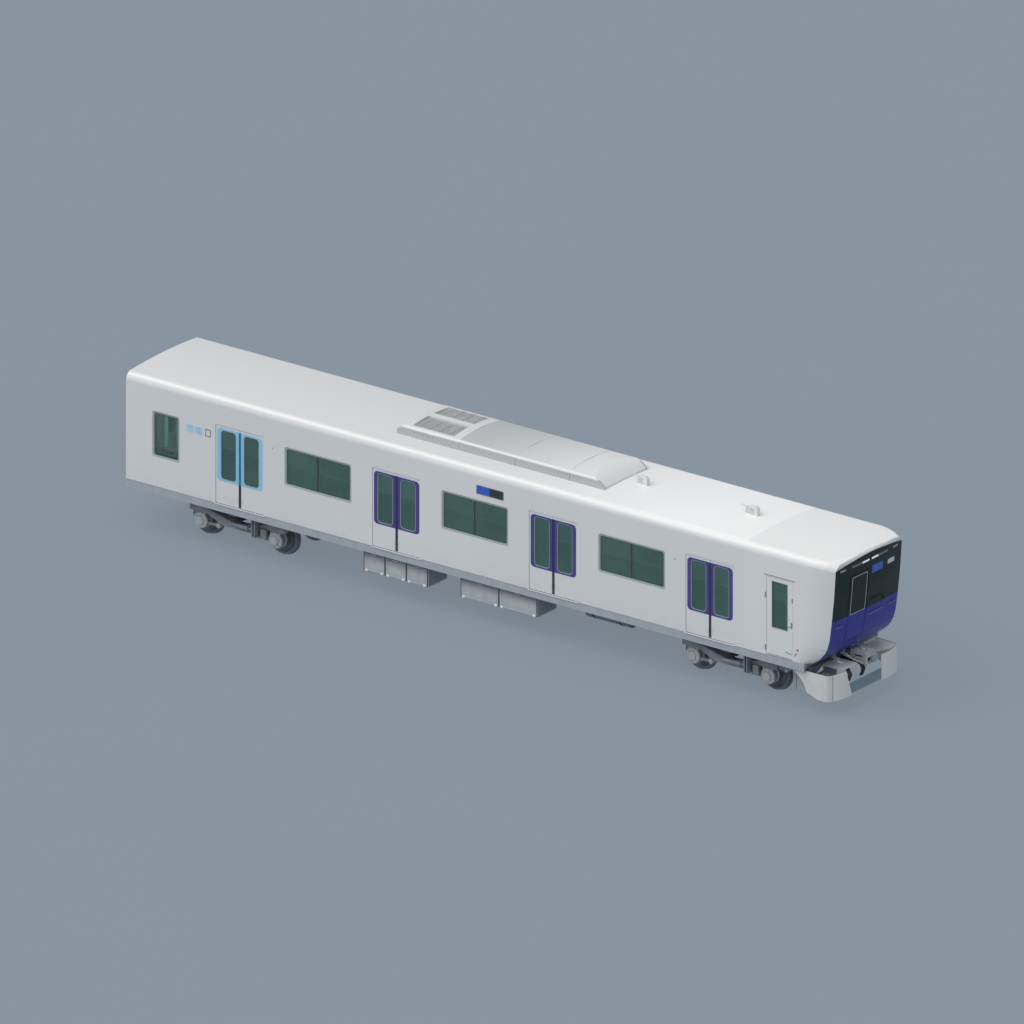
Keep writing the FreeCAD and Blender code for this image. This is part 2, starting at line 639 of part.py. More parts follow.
def roof_prisms():
    """The roof ahead of the saloon: a straight form, and tangent ones that narrow and drop it."""
    run = size("corner_run")
    gap = size("half_width") - size("mask_half_width")
    radius = (run ** 2 + gap ** 2) / (2 * gap)
    first = nose_x(size("mask_top_corner_z")) - run
    width, shoulder = size("half_width"), size("shoulder_y")
    start, top = size("shoulder_z"), size("shoulder_top_z")
    rise, inward = arc_middle(top - start, width - shoulder)
    arch = size("crown_radius")
    crown = top + arch - math.sqrt(arch ** 2 - shoulder ** 2)
    wide = 2600
    wide_z = crown - arch + math.sqrt(arch ** 2 - wide ** 2)
    clearance = 2

    def at(y, z):
        return FreeCAD.Vector(0, y, z)

    def side_profile(way, extra):
        outer = way * (width + extra)
        far = at(-way * wide, top + 400)
        return [
            Part.LineSegment(at(outer, -1000), at(outer, start)),
            Part.Arc(at(outer, start), at(outer - way * inward, start + rise),
                     at(way * (shoulder + extra), top)),
            Part.LineSegment(at(way * (shoulder + extra), top), far),
            Part.LineSegment(far, at(-way * wide, -1000)),
            Part.LineSegment(at(-way * wide, -1000), at(outer, -1000)),
        ]

    crown_profile = [
        Part.LineSegment(at(-wide, -1000), at(wide, -1000)),
        Part.LineSegment(at(wide, -1000), at(wide, wide_z)),
        Part.Arc(at(wide, wide_z), at(0, crown), at(-wide, wide_z)),
        Part.LineSegment(at(-wide, wide_z), at(-wide, -1000)),
    ]
    ahead = FreeCAD.Vector(1, 0, 0)
    prisms = [swept_profile(side_profile(way, 0), FreeCAD.Vector(first, 0, 0), ahead) for way in (1, -1)]
    prisms.append(swept_profile(crown_profile, FreeCAD.Vector(first, 0, 0), ahead))
    for share in (0.25, 0.55, 0.85):
        over = share * run
        drift = radius - math.sqrt(radius ** 2 - over ** 2)
        drop = size("roof_drop") * share ** 2
        fall = -2 * size("roof_drop") * share / run
        turn = -over / math.sqrt(radius ** 2 - over ** 2)
        for way in (1, -1):
            prisms.append(swept_profile(
                side_profile(way, clearance), FreeCAD.Vector(first + over, -way * drift, -drop),
                FreeCAD.Vector(1, way * turn, fall),
            ))
        prisms.append(swept_profile(crown_profile, FreeCAD.Vector(first + over, 0, -drop),
                                    FreeCAD.Vector(1, 0, fall)))
    return prisms


def cab_envelope():
    """The solid outer form of the cab: level outlines under the roof that drops at the front."""
    floor = size("floor_z")
    join = size("nose_join_z")
    chin = [floor + (join - floor) * part for part in (0, 0.06, 0.15, 0.28, 0.45, 0.67, 1)]
    brow_start = size("brow_start_z")
    face = [join + (brow_start - join) * part for part in (0.22, 0.58, 1)]
    brow = [brow_start + (size("crown_z") - brow_start) * part for part in (0.35, 0.6, 0.82, 1)]
    form = cab_levels(0, chin + face + brow)
    for prism in roof_prisms():
        form = form.common(prism)
    return form


def cab_hollow():
    """The room inside the cab's walls, under a ceiling with bevelled edges."""
    floor = size("floor_z")
    ceiling = size("cab_ceiling_z")
    bevel = size("cab_ceiling_bevel")
    side = size("half_width") - size("cab_wall_thick")
    outline = [(side, floor - 10), (side, ceiling - bevel), (side - bevel, ceiling - 5),
               (bevel - side, ceiling - 5), (-side, ceiling - bevel), (-side, floor - 10)]
    points = [FreeCAD.Vector(size("cab_seam_x") - 10, y, z) for y, z in outline]
    room = Part.Face(Part.makePolygon(points + points[:1])).extrude(FreeCAD.Vector(3000, 0, 0))
    levels = cab_levels(size("cab_wall_thick"), [floor, floor + 250, size("nose_join_z"), ceiling])
    return levels.common(room)


def mask_region():
    """The part of the front that the dark mask fills, seen from ahead: an arch over straight sides."""
    half = size("mask_half_width")
    low = size("floor_z") - 100
    rear = nose_x(size("floor_z")) - 700

    def at(y, z):
        return FreeCAD.Vector(rear, y, z)

    edges = [
        Part.LineSegment(at(-half, low), at(half, low)),
        Part.LineSegment(at(half, low), at(half, size("mask_top_corner_z"))),
        Part.Arc(at(half, size("mask_top_corner_z")), at(0, size("mask_top_centre_z")),
                 at(-half, size("mask_top_corner_z"))),
        Part.LineSegment(at(-half, size("mask_top_corner_z")), at(-half, low)),
    ]
    face = Part.Face(Part.Wire([edge.toShape() for edge in edges]))
    return face.extrude(FreeCAD.Vector(2500, 0, 0))


def make_cab():
    """The cab shell and, in the arch at its front, the mask and windscreen."""
    outer = cab_envelope()
    shell = outer.cut(cab_hollow())
    low = size("floor_z")
    mask = mask_region()
    front_only = Part.makeBox(1500, 4000, 4000, FreeCAD.Vector(nose_x(low) - 560, -2000, low - 50))
    region = mask.common(front_only)
    panel = shell.common(region)
    white = shell.cut(region)
    screen_split = Part.makeBox(4000, 4000, 4000, FreeCAD.Vector(7000, -2000, size("screen_low_z")))
    upper = panel.common(screen_split)
    lower = panel.cut(screen_split)

    gap = size("exit_door_gap")
    near, far = size("exit_door_near_y"), size("exit_door_far_y")
    door_low, door_high = size("exit_door_low_z"), size("exit_door_high_z")
    opening = Part.makeBox(3000, far - near, door_high - door_low,
                           FreeCAD.Vector(7900, near, door_low))
    leaf_space = Part.makeBox(1000, far - near - 2 * gap, door_high - door_low - 2 * gap,
                              FreeCAD.Vector(9300, near + gap, door_low + gap))
    leaf_back = cab_levels(size("exit_door_thick"), [1600, 1720, size("nose_join_z"), 2850, 3400])
    leaf = outer.common(leaf_space).cut(leaf_back)

    lamp_height = size("lamp_high_z") - size("lamp_low_z")
    lamp_spaces = []
    for side in (1, -1):
        for start, end in ((35, 300), (308, 670), (880, 1080)):
            corner = min(side * start, side * end)
            lamp_spaces.append(Part.makeBox(1000, end - start, lamp_height,
                                            FreeCAD.Vector(9300, corner, size("lamp_low_z"))))
    lamp_back = cab_levels(size("lamp_depth"), [3400, 3600])
    lamps = outer.common(Part.makeCompound(lamp_spaces)).cut(lamp_back)

    white_feature = shaped("cab_white", white)
    cab_doorways = both_sides("cab_doorways", [block(
        "cab_doorway", ("cab_door_rear_x", "cab_door_front_x"),
        ("half_width - 200", "half_width + 50"), ("floor_z - 5", "door_head_z"),
    )])
    last_slot = block(
        "last_slot", (door_centre(DOOR_COUNT - 1), door_centre(DOOR_COUNT - 1) + " + slot_reach"),
        ("slot_inner_y", "slot_outer_y"), ("floor_z - 10", "slot_top_z"),
    )
    doorless = cut("cab_shell_cut", white_feature, cab_doorways + both_sides("last_slots", [last_slot]))
    gutter_x = ("cab_door_rear_x - gutter_overrun", "cab_door_front_x + gutter_overrun")
    gutter_z = ("gutter_z", "gutter_z + gutter_high")
    gutters = [
        block("gutter_left", gutter_x, ("half_width - 5", "half_width + gutter_lip"), gutter_z),
        block("gutter_right", gutter_x, ("-half_width - gutter_lip", "-half_width + 5"), gutter_z),
    ]
    keep(fuse("cab_shell_trimmed", [doorless] + gutters), "cab_shell")
    keep(shaped("mask_lower", lower.cut(opening)), "front_mask")
    keep(shaped("mask_upper", upper.cut(opening).cut(lamps)), "windscreen")
    keep(shaped("lamp_bars", lamps), "front_lamps")
    keep(shaped("exit_leaf", leaf), "front_exit_door")


def make_cab_door(side):
    gap = "7"
    x = ("cab_door_rear_x + " + gap, "cab_door_front_x - 9")
    y = ("half_width - 5 - cab_door_thick", "half_width - 5")
    leaf = block("cab_leaf_" + side, x, y, ("floor_z + 12", "door_head_z - 8"))
    hole = block("cab_leaf_hole_" + side, ("cab_window_rear_x", "cab_window_front_x"),
                 ("half_width - 100", "half_width + 10"), ("cab_window_low_z", "cab_window_high_z"))
    placed(cut("cab_leaf_cut_" + side, leaf, [hole]), side, "cab_door_" + side)
    pane = block("cab_pane_" + side, ("cab_window_rear_x + 0.5", "cab_window_front_x - 0.5"),
                 ("half_width - 35", "half_width - 15"),
                 ("cab_window_low_z + 0.5", "cab_window_high_z - 0.5"))
    placed(pane, side, "cab_door_glass_" + side)


def louvre_grille(name, low, high):
    """Tilted slats between two side bars, sunk a little below the top of the housing."""
    count = int((size("grille_front_x") - size("grille_rear_x") - 40) / size("slat_pitch"))
    pieces = []
    for index in range(count):
        x = "grille_rear_x + 40 + %d * slat_pitch" % index
        slat = pad_body(
            "%s_slat_%d" % (name, index), "xz",
            [(x, "ac_crown_z - 68"), (x + " + 14", "ac_crown_z - 68"),
             (x + " + slat_width + 14", "ac_crown_z - 30"), (x + " + slat_width", "ac_crown_z - 30")],
            "( %s ) - ( %s ) - 4" % (high, low), "%s + 2" % low,
        )
        pieces.append(slat)
    for index, (first, last) in enumerate(((low + " + 2", low + " + 26"), (high + " - 26", high + " - 2"),
                                           ("( %s + %s ) / 2 - 12" % (low, high),
                                            "( %s + %s ) / 2 + 12" % (low, high)))):
        pieces.append(block("%s_bar_%d" % (name, index), ("grille_rear_x + 4", "grille_front_x - 4"),
                            (first, last), ("ac_crown_z - 75", "ac_crown_z - 26")))
    return fuse(name, pieces)


def make_roof_gear():
    """The air-conditioning housing, its louvres and the two antennas, seated on the crown."""
    base_z = "shoulder_top_z - 30"
    housing = pad_body(
        "ac_profile", "xz",
        [
            ("ac_rear_x", base_z), ("ac_front_x", base_z), ("ac_front_x", "crown_z + 30"),
            ("ac_front_x - ac_nose", "ac_crown_z"), ("ac_rear_x + ac_tail", "ac_crown_z"),
            ("ac_rear_x", "crown_z + 90"),
        ],
        "2 * ac_half_width", "-ac_half_width", {2: "900"},
    )
    crown = pad_body(
        "ac_crown", "yz",
        [
            ("ac_half_width", base_z), ("ac_half_width", "ac_edge_z - ac_edge_radius"),
            ("ac_half_width - ac_edge_radius", "ac_edge_z"),
            ("-ac_half_width + ac_edge_radius", "ac_edge_z"),
            ("-ac_half_width", "ac_edge_z - ac_edge_radius"), ("-ac_half_width", base_z),
        ],
        "ac_front_x - ac_rear_x + 200", "ac_rear_x - 100",
        {1: "ac_edge_radius", 2: "5000", 3: "ac_edge_radius"},
    )
    envelope = roof_envelope("ac_roof_envelope")
    cuts = [envelope]
    for index, place in enumerate(("-940", "640", "2150")):
        cuts.append(block("ac_joint_%d" % index, (place, place + " + ac_joint"),
                          ("-ac_half_width - 10", "ac_half_width + 10"),
                          ("ac_crown_z - 8", "ac_crown_z + 50")))
        for side in (1, -1):
            low, high = sorted((side * 792, side * 830))
            cuts.append(block("ac_side_joint_%d_%d" % (index, side), (place, place + " + ac_joint"),
                              (str(low), str(high)), ("crown_z - 60", "ac_edge_z")))
    for side in (1, -1):
        low, high = sorted((side * 785, side * 830))
        for first, count in ((-2270, 8), (1840, 8)):
            for index in range(count):
                x = first + 84 * index
                cuts.append(block("ac_slot_%d_%d_%d" % (side, first, index), (str(x), str(x + 52)),
                                  (str(low), str(high)), ("crown_z + 70", "crown_z + 130")))
    housing = cut("ac_seated", common("ac_form", housing, crown), cuts)
    bays = []
    grilles = []
    for side in (1, -1):
        low, high = "grille_inner_y", "grille_outer_y"
        if side < 0:
            low, high = "-grille_outer_y", "-grille_inner_y"
        bays.append(block("grille_bay_%d" % side, ("grille_rear_x", "grille_front_x"), (low, high),
                          ("ac_crown_z - 75", "ac_crown_z + 50")))
        grilles.append(louvre_grille("grille_%d" % side, low, high))
    keep(cut("ac_housing", housing, bays), "air_conditioner")
    keep(together("grilles", grilles), "air_conditioner_louvres")

    antennas = []
    for index, name in enumerate(("antenna_one_x", "antenna_two_x")):
        body = pad_body(
            "antenna_%d" % index, "xz",
            [
                (name, "crown_z - 30"), (name + " + 110", "crown_z - 30"),
                (name + " + 110", "crown_z + 170"), (name + " + 60", "crown_z + 215"),
                (name + " - 110", "crown_z + 215"), (name + " - 110", "crown_z + 165"),
                (name, "crown_z + 150"),
            ],
            "antenna_width", "-antenna_width / 2 - 20",
        )
        antennas.append(body)
    keep(cut("antennas_seated", together("antenna_pair", antennas), [roof_envelope("antenna_roof")]),
         "roof_antennas")


def make_underfloor():
    boxes = []
    near, far = ("-box_outer_y", "-box_inner_y"), ("box_inner_y", "box_outer_y")
    narrow = ("box_inner_y + box_five_inset", "box_outer_y")
    for count, y in (("one", near), ("two", near), ("three", far), ("four", far), ("five", narrow)):
        x = ("box_%s_rear_x" % count, "box_%s_front_x" % count)
        box = block("equipment_" + count, x, y, ("box_low_z", "box_high_z"))
        boxes.append(rounded("equipment_bevel_" + count, box, "box_bevel", along("x"), "Part::Chamfer"))
    keep(together("equipment", boxes), "equipment_boxes")

    across = ("tank_y", "tank_z")
    parts = [
        rod("tank", "x", "tank_rear_x + tank_dish", "tank_front_x - tank_dish", "tank_radius", across),
        rod("tank_core", "x", "tank_rear_x", "tank_front_x", "tank_end_radius", across),
    ]
    for strap in ("tank_strap_one", "tank_strap_two"):
        x = ("tank_rear_x + " + strap, "tank_rear_x + %s + tank_strap_width" % strap)
        parts.append(block(strap + "_block", x, ("tank_y - tank_radius - 10", "tank_y + tank_radius + 10"),
                           ("tank_z", "box_high_z")))
    keep(fuse("tank_fused", parts), "air_tank")


def make_skirt_panel():
    """One side of the apron: a side panel with a curved rear edge, then a rounded front panel."""
    side_y, bend_y = "half_width - skirt_inset", "half_width - skirt_bend_inset"
    tip = "skirt_front_x + skirt_nose"
    plan = [
        ("skirt_rear_x", side_y), ("skirt_bend_x", bend_y), ("skirt_front_x", "skirt_corner_y"),
        (tip, "skirt_inner_y"), (tip + " - skirt_thick", "skirt_inner_y"),
        ("skirt_front_x - skirt_thick", "skirt_corner_y - 10"),
        ("skirt_bend_x - 6", bend_y + " - skirt_thick"), ("skirt_rear_x", side_y + " - skirt_thick"),
    ]
    arcs = {
        1: "-skirt_bend_radius", 2: "-skirt_nose_radius",
        4: "skirt_nose_radius - skirt_thick", 5: "skirt_bend_radius - skirt_thick",
    }
    panel = pad_body("skirt_plan", "xy", plan, "sill_low_z - skirt_low_z", "skirt_low_z", arcs)
    foot = "skirt_rear_x + skirt_foot_run"
    profile = pad_body(
        "skirt_side", "xz",
        [
            ("skirt_rear_x - 20", "skirt_low_z - 20"), (foot, "skirt_low_z - 20"),
            (foot + " - 70", "skirt_low_z + 10"), (foot + " - 350", "skirt_low_z + 120"),
            ("skirt_rear_x - 20", "skirt_low_z + 540"),
        ],
        "2000", "0", {3: "skirt_edge_radius"},
    )
    return cut("skirt_left", panel, [profile])


def make_skirt_steps():
    """A step behind the left panel, and on the right a drilled plate with a tread below it."""
    left = pad_body(
        "skirt_step", "xy",
        [
            ("sill_front_x", "600"), ("skirt_front_x - 180", "640"), ("skirt_front_x + 2", "980"),
            ("skirt_bend_x + 60", "skirt_corner_y + 40"), ("skirt_bend_x - 20", "half_width - 110"),
            ("sill_front_x", "half_width - 110"),
        ],
        "step_thick", "step_z - step_thick",
    )
    plate = block("skirt_plate", ("sill_front_x", "plate_front_x"), ("-plate_outer_y", "-plate_inner_y"),
                  ("plate_z - step_thick", "plate_z"))
    hole = block("plate_hole", ("sill_front_x + 160", "sill_front_x + 400"), ("-520", "-390"),
                 ("plate_z - 60", "plate_z + 20"))
    web = block("tread_web", ("sill_front_x + 130", "sill_front_x + 450"),
                ("-plate_outer_y - 10", "-plate_outer_y + 10"), ("tread_z - step_thick", "plate_z"))
    tread = block("tread", ("sill_front_x + 130", "sill_front_x + 450"), ("-tread_outer_y", "-plate_outer_y"),
                  ("tread_z - step_thick", "tread_z"))
    slot = block("tread_slot", ("sill_front_x + 200", "sill_front_x + 400"), ("-1010", "-930"),
                 ("tread_z - 60", "tread_z + 20"))
    return [left, cut("plate_drilled", plate, [hole]), web, cut("tread_slotted", tread, [slot])]


def make_skirt():
    """Apron under the cab, open in the middle but for a low plate, with its beam and carriers."""
    left = make_skirt_panel()
    slant = pad_body(
        "skirt_slant", "yz",
        [
            ("-skirt_slant_y", "skirt_low_z - 20"), ("-skirt_inner_y + 60", "skirt_low_z - 20"),
            ("-skirt_inner_y + 60", "sill_low_z + 50"), ("-skirt_slant_y - skirt_slant_run", "sill_low_z + 50"),
        ],
        "300", "skirt_front_x - 150",
    )
    right = cut("skirt_right", mirrored("skirt_right_whole", left), [slant])
    middle = pad_body(
        "skirt_middle", "yz",
        [
            ("-skirt_slant_y - 36", "skirt_middle_low"), ("skirt_inner_y + 25", "skirt_middle_low"),
            ("skirt_inner_y + 25", "skirt_middle_high"), ("-skirt_slant_y - 126", "skirt_middle_high"),
        ],
        "16", "skirt_middle_x",
    )
    beam = block("skirt_beam", ("skirt_front_x - 70", "skirt_front_x"), ("-beam_half", "beam_half"),
                 ("skirt_low_z + 150", "skirt_low_z + 210"))
    carrier_x = ("sill_front_x", "sill_front_x + 60")
    carrier = block("skirt_carrier", carrier_x, ("-carrier_half", "carrier_half"),
                    ("step_z - step_thick", "step_z + 70"))
    ends = block("skirt_carrier_ends", carrier_x, ("-half_width + 84", "half_width - 84"),
                 ("step_z - step_thick", "step_z + 5"))
    keep(fuse("skirt_all", [left, right, middle, beam, carrier, ends] + make_skirt_steps()), "front_skirt")


def make_coupler(name, way):
    """A close-coupling head on a draft shank: a chamfered body, a face plate with a wedge and a pocket."""
    root = "sill_front_x" if way > 0 else "-rear_end_x"
    low, high, face_high = "coupler_z - head_below", "coupler_z + head_above", "coupler_z + face_high"
    heel, nose = "coupler_reach - head_run", "coupler_reach - 60"
    shank_low = "coupler_z - shank_below"
    side_view = [
        (heel, shank_low), (heel + " + 90", low), (nose, low), (nose, face_high),
        (nose + " - 70", high), (heel, high),
    ]
    if way < 0:
        side_view = [("5 - rear_end_x", low), (nose, low), (nose, face_high), ("5 - rear_end_x", face_high)]
    wedge_z = ("coupler_z - wedge_half", "coupler_z + wedge_half")
    pieces = [
        block(name + "_shank", (root, "coupler_reach - 100"), ("-shank_half", "shank_half"),
              (shank_low, "coupler_z + shank_above")),
        pad_body(name + "_head", "xz", side_view, "2 * head_half", "-head_half"),
        block(name + "_plate", ("coupler_reach - face_run", "coupler_reach - face_run + face_plate"),
              ("-head_half - face_lip", "head_half + face_lip"), (low, face_high)),
        block(name + "_wedge", ("coupler_reach - 45", "coupler_reach"), ("-10", "120"), wedge_z),
    ]
    pocket = block(name + "_pocket", ("coupler_reach - 120", "coupler_reach"), ("-150", "-40"),
                   ("coupler_z - wedge_half", "coupler_z + wedge_half - 20"))
    finished = cut(name + "_body", fuse(name + "_solid", pieces), [pocket])
    if way < 0:
        finished = mirrored(name + "_turned", finished, (1, 0, 0))
    keep(finished, name)


def make_cab_inside():
    """Bulkhead with a doorway and two panes, the driver's desk and seat."""
    plate = block("bulkhead_plate", ("cab_seam_x + 30", "cab_seam_x + 30 + bulkhead_thick"),
                  ("-half_width + wall_thick + 2", "half_width - wall_thick - 2"),
                  ("floor_z", "door_head_z + 250"))
    through = ("cab_seam_x", "cab_seam_x + 100")
    pane_z = ("floor_z + 900", "door_head_z - 100")
    holes = [
        block("bulkhead_door", through, ("-bulkhead_door_half", "bulkhead_door_half"),
              ("floor_z - 10", "door_head_z - 50")),
        block("bulkhead_pane_left", through, ("bulkhead_pane_inner_y", "bulkhead_pane_outer_y"), pane_z),
        block("bulkhead_pane_right", through, ("-bulkhead_pane_outer_y", "-bulkhead_pane_inner_y"), pane_z),
    ]
    keep(cut("bulkhead_cut", plate, holes), "cab_bulkhead")
    desk = pad_body(
        "desk", "xz",
        [
            ("desk_rear_x + 70", "floor_z"), ("desk_rear_x + 240", "floor_z"),
            ("desk_rear_x + 240", "floor_z + 250"), ("desk_front_x", "floor_z + 560"),
            ("desk_front_x", "floor_z + 820"), ("desk_front_x - 300", "floor_z + 800"),
            ("desk_rear_x", "floor_z + 700"), ("desk_rear_x + 70", "floor_z + 640"),
        ],
        "desk_width", "desk_inner_y",
    )
    across = ("driver_y - driver_half", "driver_y + driver_half")
    seat = [
        rod("driver_post", "z", "floor_z", "floor_z + 430", "45", ("driver_x", "driver_y"), sides=8),
        block("driver_pan", ("driver_x - 200", "driver_x + driver_half"), across,
              ("floor_z + 420", "floor_z + 520")),
        block("driver_back", ("driver_x - 260", "driver_x - 180"), across,
              ("floor_z + 460", "floor_z + 1050")),
    ]
    keep(together("cab_furniture", [desk, fuse("driver_seat", seat)]), "cab_desk")


def make_saloon_inside():
    """Long benches between the doorways, and the poles that stand beside each doorway."""
    bays = [("rear_end_x + end_wall_thick + seat_end_gap",
             door_centre(0) + " - doorway_half - seat_end_gap")]
    for index in range(DOOR_COUNT - 1):
        bays.append((door_centre(index) + " + doorway_half + seat_end_gap",
                     door_centre(index + 1) + " - doorway_half - seat_end_gap"))
    wall = "half_width - wall_thick - "
    cushion = "floor_z + seat_height"
    back_high = "floor_z + seat_back_high"
    section = [
        (wall + "10", "floor_z + 330"), (wall + "10", back_high), (wall + "90", back_high),
        (wall + "150", cushion), (wall + "seat_deep", cushion), (wall + "seat_deep", "floor_z + 340"),
        (wall + "300", "floor_z + 300"), (wall + "300", "floor_z"), (wall + "40", "floor_z"),
        (wall + "40", "floor_z + 330"),
    ]
    benches = []
    for index, (low, high) in enumerate(bays):
        benches.append(pad_body("bench_%d" % index, "yz", section, "( %s ) - ( %s )" % (high, low), low))
    left = together("benches_left", benches)
    keep(together("benches", [left, mirrored("benches_right", left)]), "saloon_seats")

    rails = []
    for index in range(DOOR_COUNT):
        for side in (-1, 1):
            x = door_centre(index) + " + %d * ( doorway_half + pole_gap )" % side
            rails.append(rod("pole_%d_%d" % (index, side), "z", "floor_z", "shoulder_top_z - roof_thick - 1",
                             "pole_radius", (x, "pole_y"), sides=8))
    left_rails = together("poles_left", rails)
    keep(together("poles", [left_rails, mirrored("poles_right", left_rails)]), "saloon_poles")


def wheelset(name, x):
    """Two flanged wheels and their axle, turned in one profile about the axle line."""
    body = document.addObject("PartDesign::Body", name + "_body")
    half = [
        ("0", "journal_end_y"), ("journal_radius", "journal_end_y"),
        ("journal_radius", "wheel_face_y"), ("tread_radius", "wheel_face_y"),
        ("tread_radius", "wheel_back_y + flange_thick"), ("flange_radius", "wheel_back_y + flange_thick"),
        ("flange_radius", "wheel_back_y"),
        ("axle_radius", "wheel_back_y"),
    ]
    mirror_half = [(radius, "-( %s )" % place) for radius, place in reversed(half)]
    sketch = sketch_on(body, "xy", half + mirror_half)
    turned = body.newObject("PartDesign::Revolution", name + "_turned")
    turned.Profile = sketch
    turned.ReferenceAxis = (sketch, ["V_Axis"])
    turned.Angle = 360
    body.Tip = turned
    body.setExpression("Placement.Base.x", bound(x))
    body.setExpression("Placement.Base.z", bound("axle_z"))
    keep(body, name)


def frame_side_view(centre):
    """Outline of a side beam: ends carried over the axle boxes, and a well under the air spring."""
    top, low = "axle_z + frame_top_rise", "axle_z + frame_low_rise"
    ahead = [
        ("400", "axle_z + 20"), ("frame_reach - frame_end_length", low), ("frame_reach", low),
        ("frame_reach", top + " - 15"), ("frame_reach - frame_end_run", top),
        ("frame_well_half", "frame_well_z"),
    ]
    front = [("%s + %s" % (centre, run), z) for run, z in ahead]
    rear = [("%s - ( %s )" % (centre, run), z) for run, z in reversed(ahead)]
    return front + rear


def frame_fittings(name, centre):
    """What one side beam carries: link brackets, yaw damper, its hangers and the brake box."""
    fittings = []
    for way in (-1, 1):
        x = "%s + %d * link_eye_run" % (centre, way)
        fittings.append(block("%s_link_bracket_%d" % (name, way), (x + " - 45", x + " + 45"),
                              ("frame_mid_y - 40", "frame_mid_y + 30"), ("axle_z - 75", "axle_z + 130")))
    damper_y = "frame_mid_y + damper_out"
    across = (damper_y, "damper_z")
    fittings.append(rod(name + "_damper", "x", centre + " - damper_rear", centre + " + damper_front",
                        "damper_radius", across))
    fittings.append(rod(name + "_damper_rod", "x", centre + " + damper_front - 10",
                        centre + " + damper_rod_run", "damper_rod_radius", across, sides=8))
    for index, x in enumerate((centre + " - damper_rear + 8", centre + " + damper_foot_run")):
        fittings.append(block("%s_damper_foot_%d" % (name, index), (x, x + " + damper_foot"),
                              ("frame_mid_y + 20", damper_y), ("damper_z - 75", "frame_well_z - 8")))
    for index in range(2):
        x = "%s + hanger_run + %d * hanger_gap" % (centre, index)
        fittings.append(block("%s_hanger_%d" % (name, index), (x, x + " + hanger_thick"),
                              ("frame_mid_y + 60", damper_y + " + 20"), ("axle_z + 20", "axle_z + 470")))
    tie_x = centre + " + hanger_run + 15"
    fittings.append(block(name + "_hanger_tie", (tie_x, tie_x + " + hanger_gap"),
                          ("frame_mid_y - 60", "frame_mid_y + 90"), ("axle_z + 150", "axle_z + 260")))
    brake_x = centre + " + brake_box_run"
    fittings.append(block(name + "_brake_box", (brake_x, brake_x + " + brake_box_long"),
                          ("frame_mid_y - 40", "frame_mid_y + 130"), ("axle_z + 5", "axle_z + 220")))
    return fittings


def make_bogie_frame(name, centre, guards):
    """Two swan-necked side beams with their fittings, joined by transoms, and guards if asked for."""
    beam = pad_body(name + "_beam", "xz", frame_side_view(centre), "2 * frame_half_width",
                    "frame_mid_y - frame_half_width")
    near = fuse(name + "_near_side", [beam] + frame_fittings(name, centre))
    pieces = [near, mirrored(name + "_far_side", near)]
    for way in (-1, 1):
        x = "%s + %d * transom_run" % (centre, way)
        pieces.append(block("%s_transom_%d" % (name, way), (x + " - transom_half", x + " + transom_half"),
                            ("-frame_mid_y", "frame_mid_y"), ("axle_z + 35", "axle_z + 165")))
    if guards:
        pieces += rail_guards(name, centre)
    keep(fuse(name + "_frame_fused", pieces), name + "_frame")


def sideways(side, low, thick):
    """The y range of a piece that starts at a distance from the middle, on one side of the car."""
    high = "%s + %s" % (low, thick)
    return (low, high) if side > 0 else ("-( %s )" % high, "-( %s )" % low)


def rail_guards(name, centre):
    """A cross pipe ahead of the frame on two arms, with a guard plate over each rail."""
    x, pipe_z = centre + " + guard_run", "axle_z + guard_rise"
    pieces = [rod(name + "_guard_pipe", "y", "-frame_mid_y - 60", "frame_mid_y + 60", "38", (x, pipe_z))]
    for side in (1, -1):
        tag = "%s_guard_%%s_%d" % (name, side)
        pieces.append(block(tag % "plate", (x, x + " + guard_plate_run"),
                            sideways(side, "guard_y + 30", "guard_plate_thick"),
                            ("guard_low_z", "axle_z + 165")))
        pieces.append(block(tag % "post", (x + " - guard_thick / 2", x + " + guard_thick / 2"),
                            sideways(side, "guard_y", "guard_thick"), ("guard_low_z", pipe_z)))
        pieces.append(block(tag % "arm", (centre + " + frame_reach - 60", x + " + 15"),
                            sideways(side, "guard_arm_y", "guard_arm_thick"),
                            ("axle_z + 225", "axle_z + 320")))
    return pieces


def make_axle_boxes(name, centre):
    """Round boxes on the journals, each with its spring seat and a link arm to the frame."""
    boxes = []
    for way in (-1, 1):
        x = "%s + %d * half_wheelbase" % (centre, way)
        tag = "%s_%d" % (name, way)
        drum = rod(tag + "_drum", "y", "drum_inner_y", "drum_outer_y", "drum_radius", (x, "axle_z"))
        seat = block(tag + "_seat", (x + " - 120", x + " + 120"),
                     ("frame_mid_y - 65", "frame_mid_y + 45"), ("axle_z + 100", "axle_z + 214"))
        arm_x = (x + " - link_arm_reach", x) if way > 0 else (x, x + " + link_arm_reach")
        arm = block(tag + "_arm", arm_x, ("frame_mid_y - 35", "frame_mid_y + 25"),
                    ("axle_z - 62", "axle_z + 2"))
        box = fuse(tag + "_axle_box", [drum, seat, arm])
        boxes += [box, mirrored(tag + "_axle_box_right", box)]
    keep(together(name + "_boxes", boxes), name + "_axle_boxes")


def make_air_springs(name, centre):
    """A bag over each side beam, on an eight-sided foot."""
    springs = []
    for side in (1, -1):
        across = (centre, "%d * air_spring_y" % side)
        tag = "%s_spring_%d" % (name, side)
        foot = rod(tag + "_foot", "z", "frame_well_z + 1", "spring_bag_z", "spring_foot_radius", across,
                   sides=8)
        bag = rod(tag + "_bag", "z", "spring_bag_z", "bolster_low_z - 10", "air_spring_radius", across)
        springs.append(fuse(tag, [foot, bag]))
    keep(together(name + "_springs", springs), name + "_air_springs")


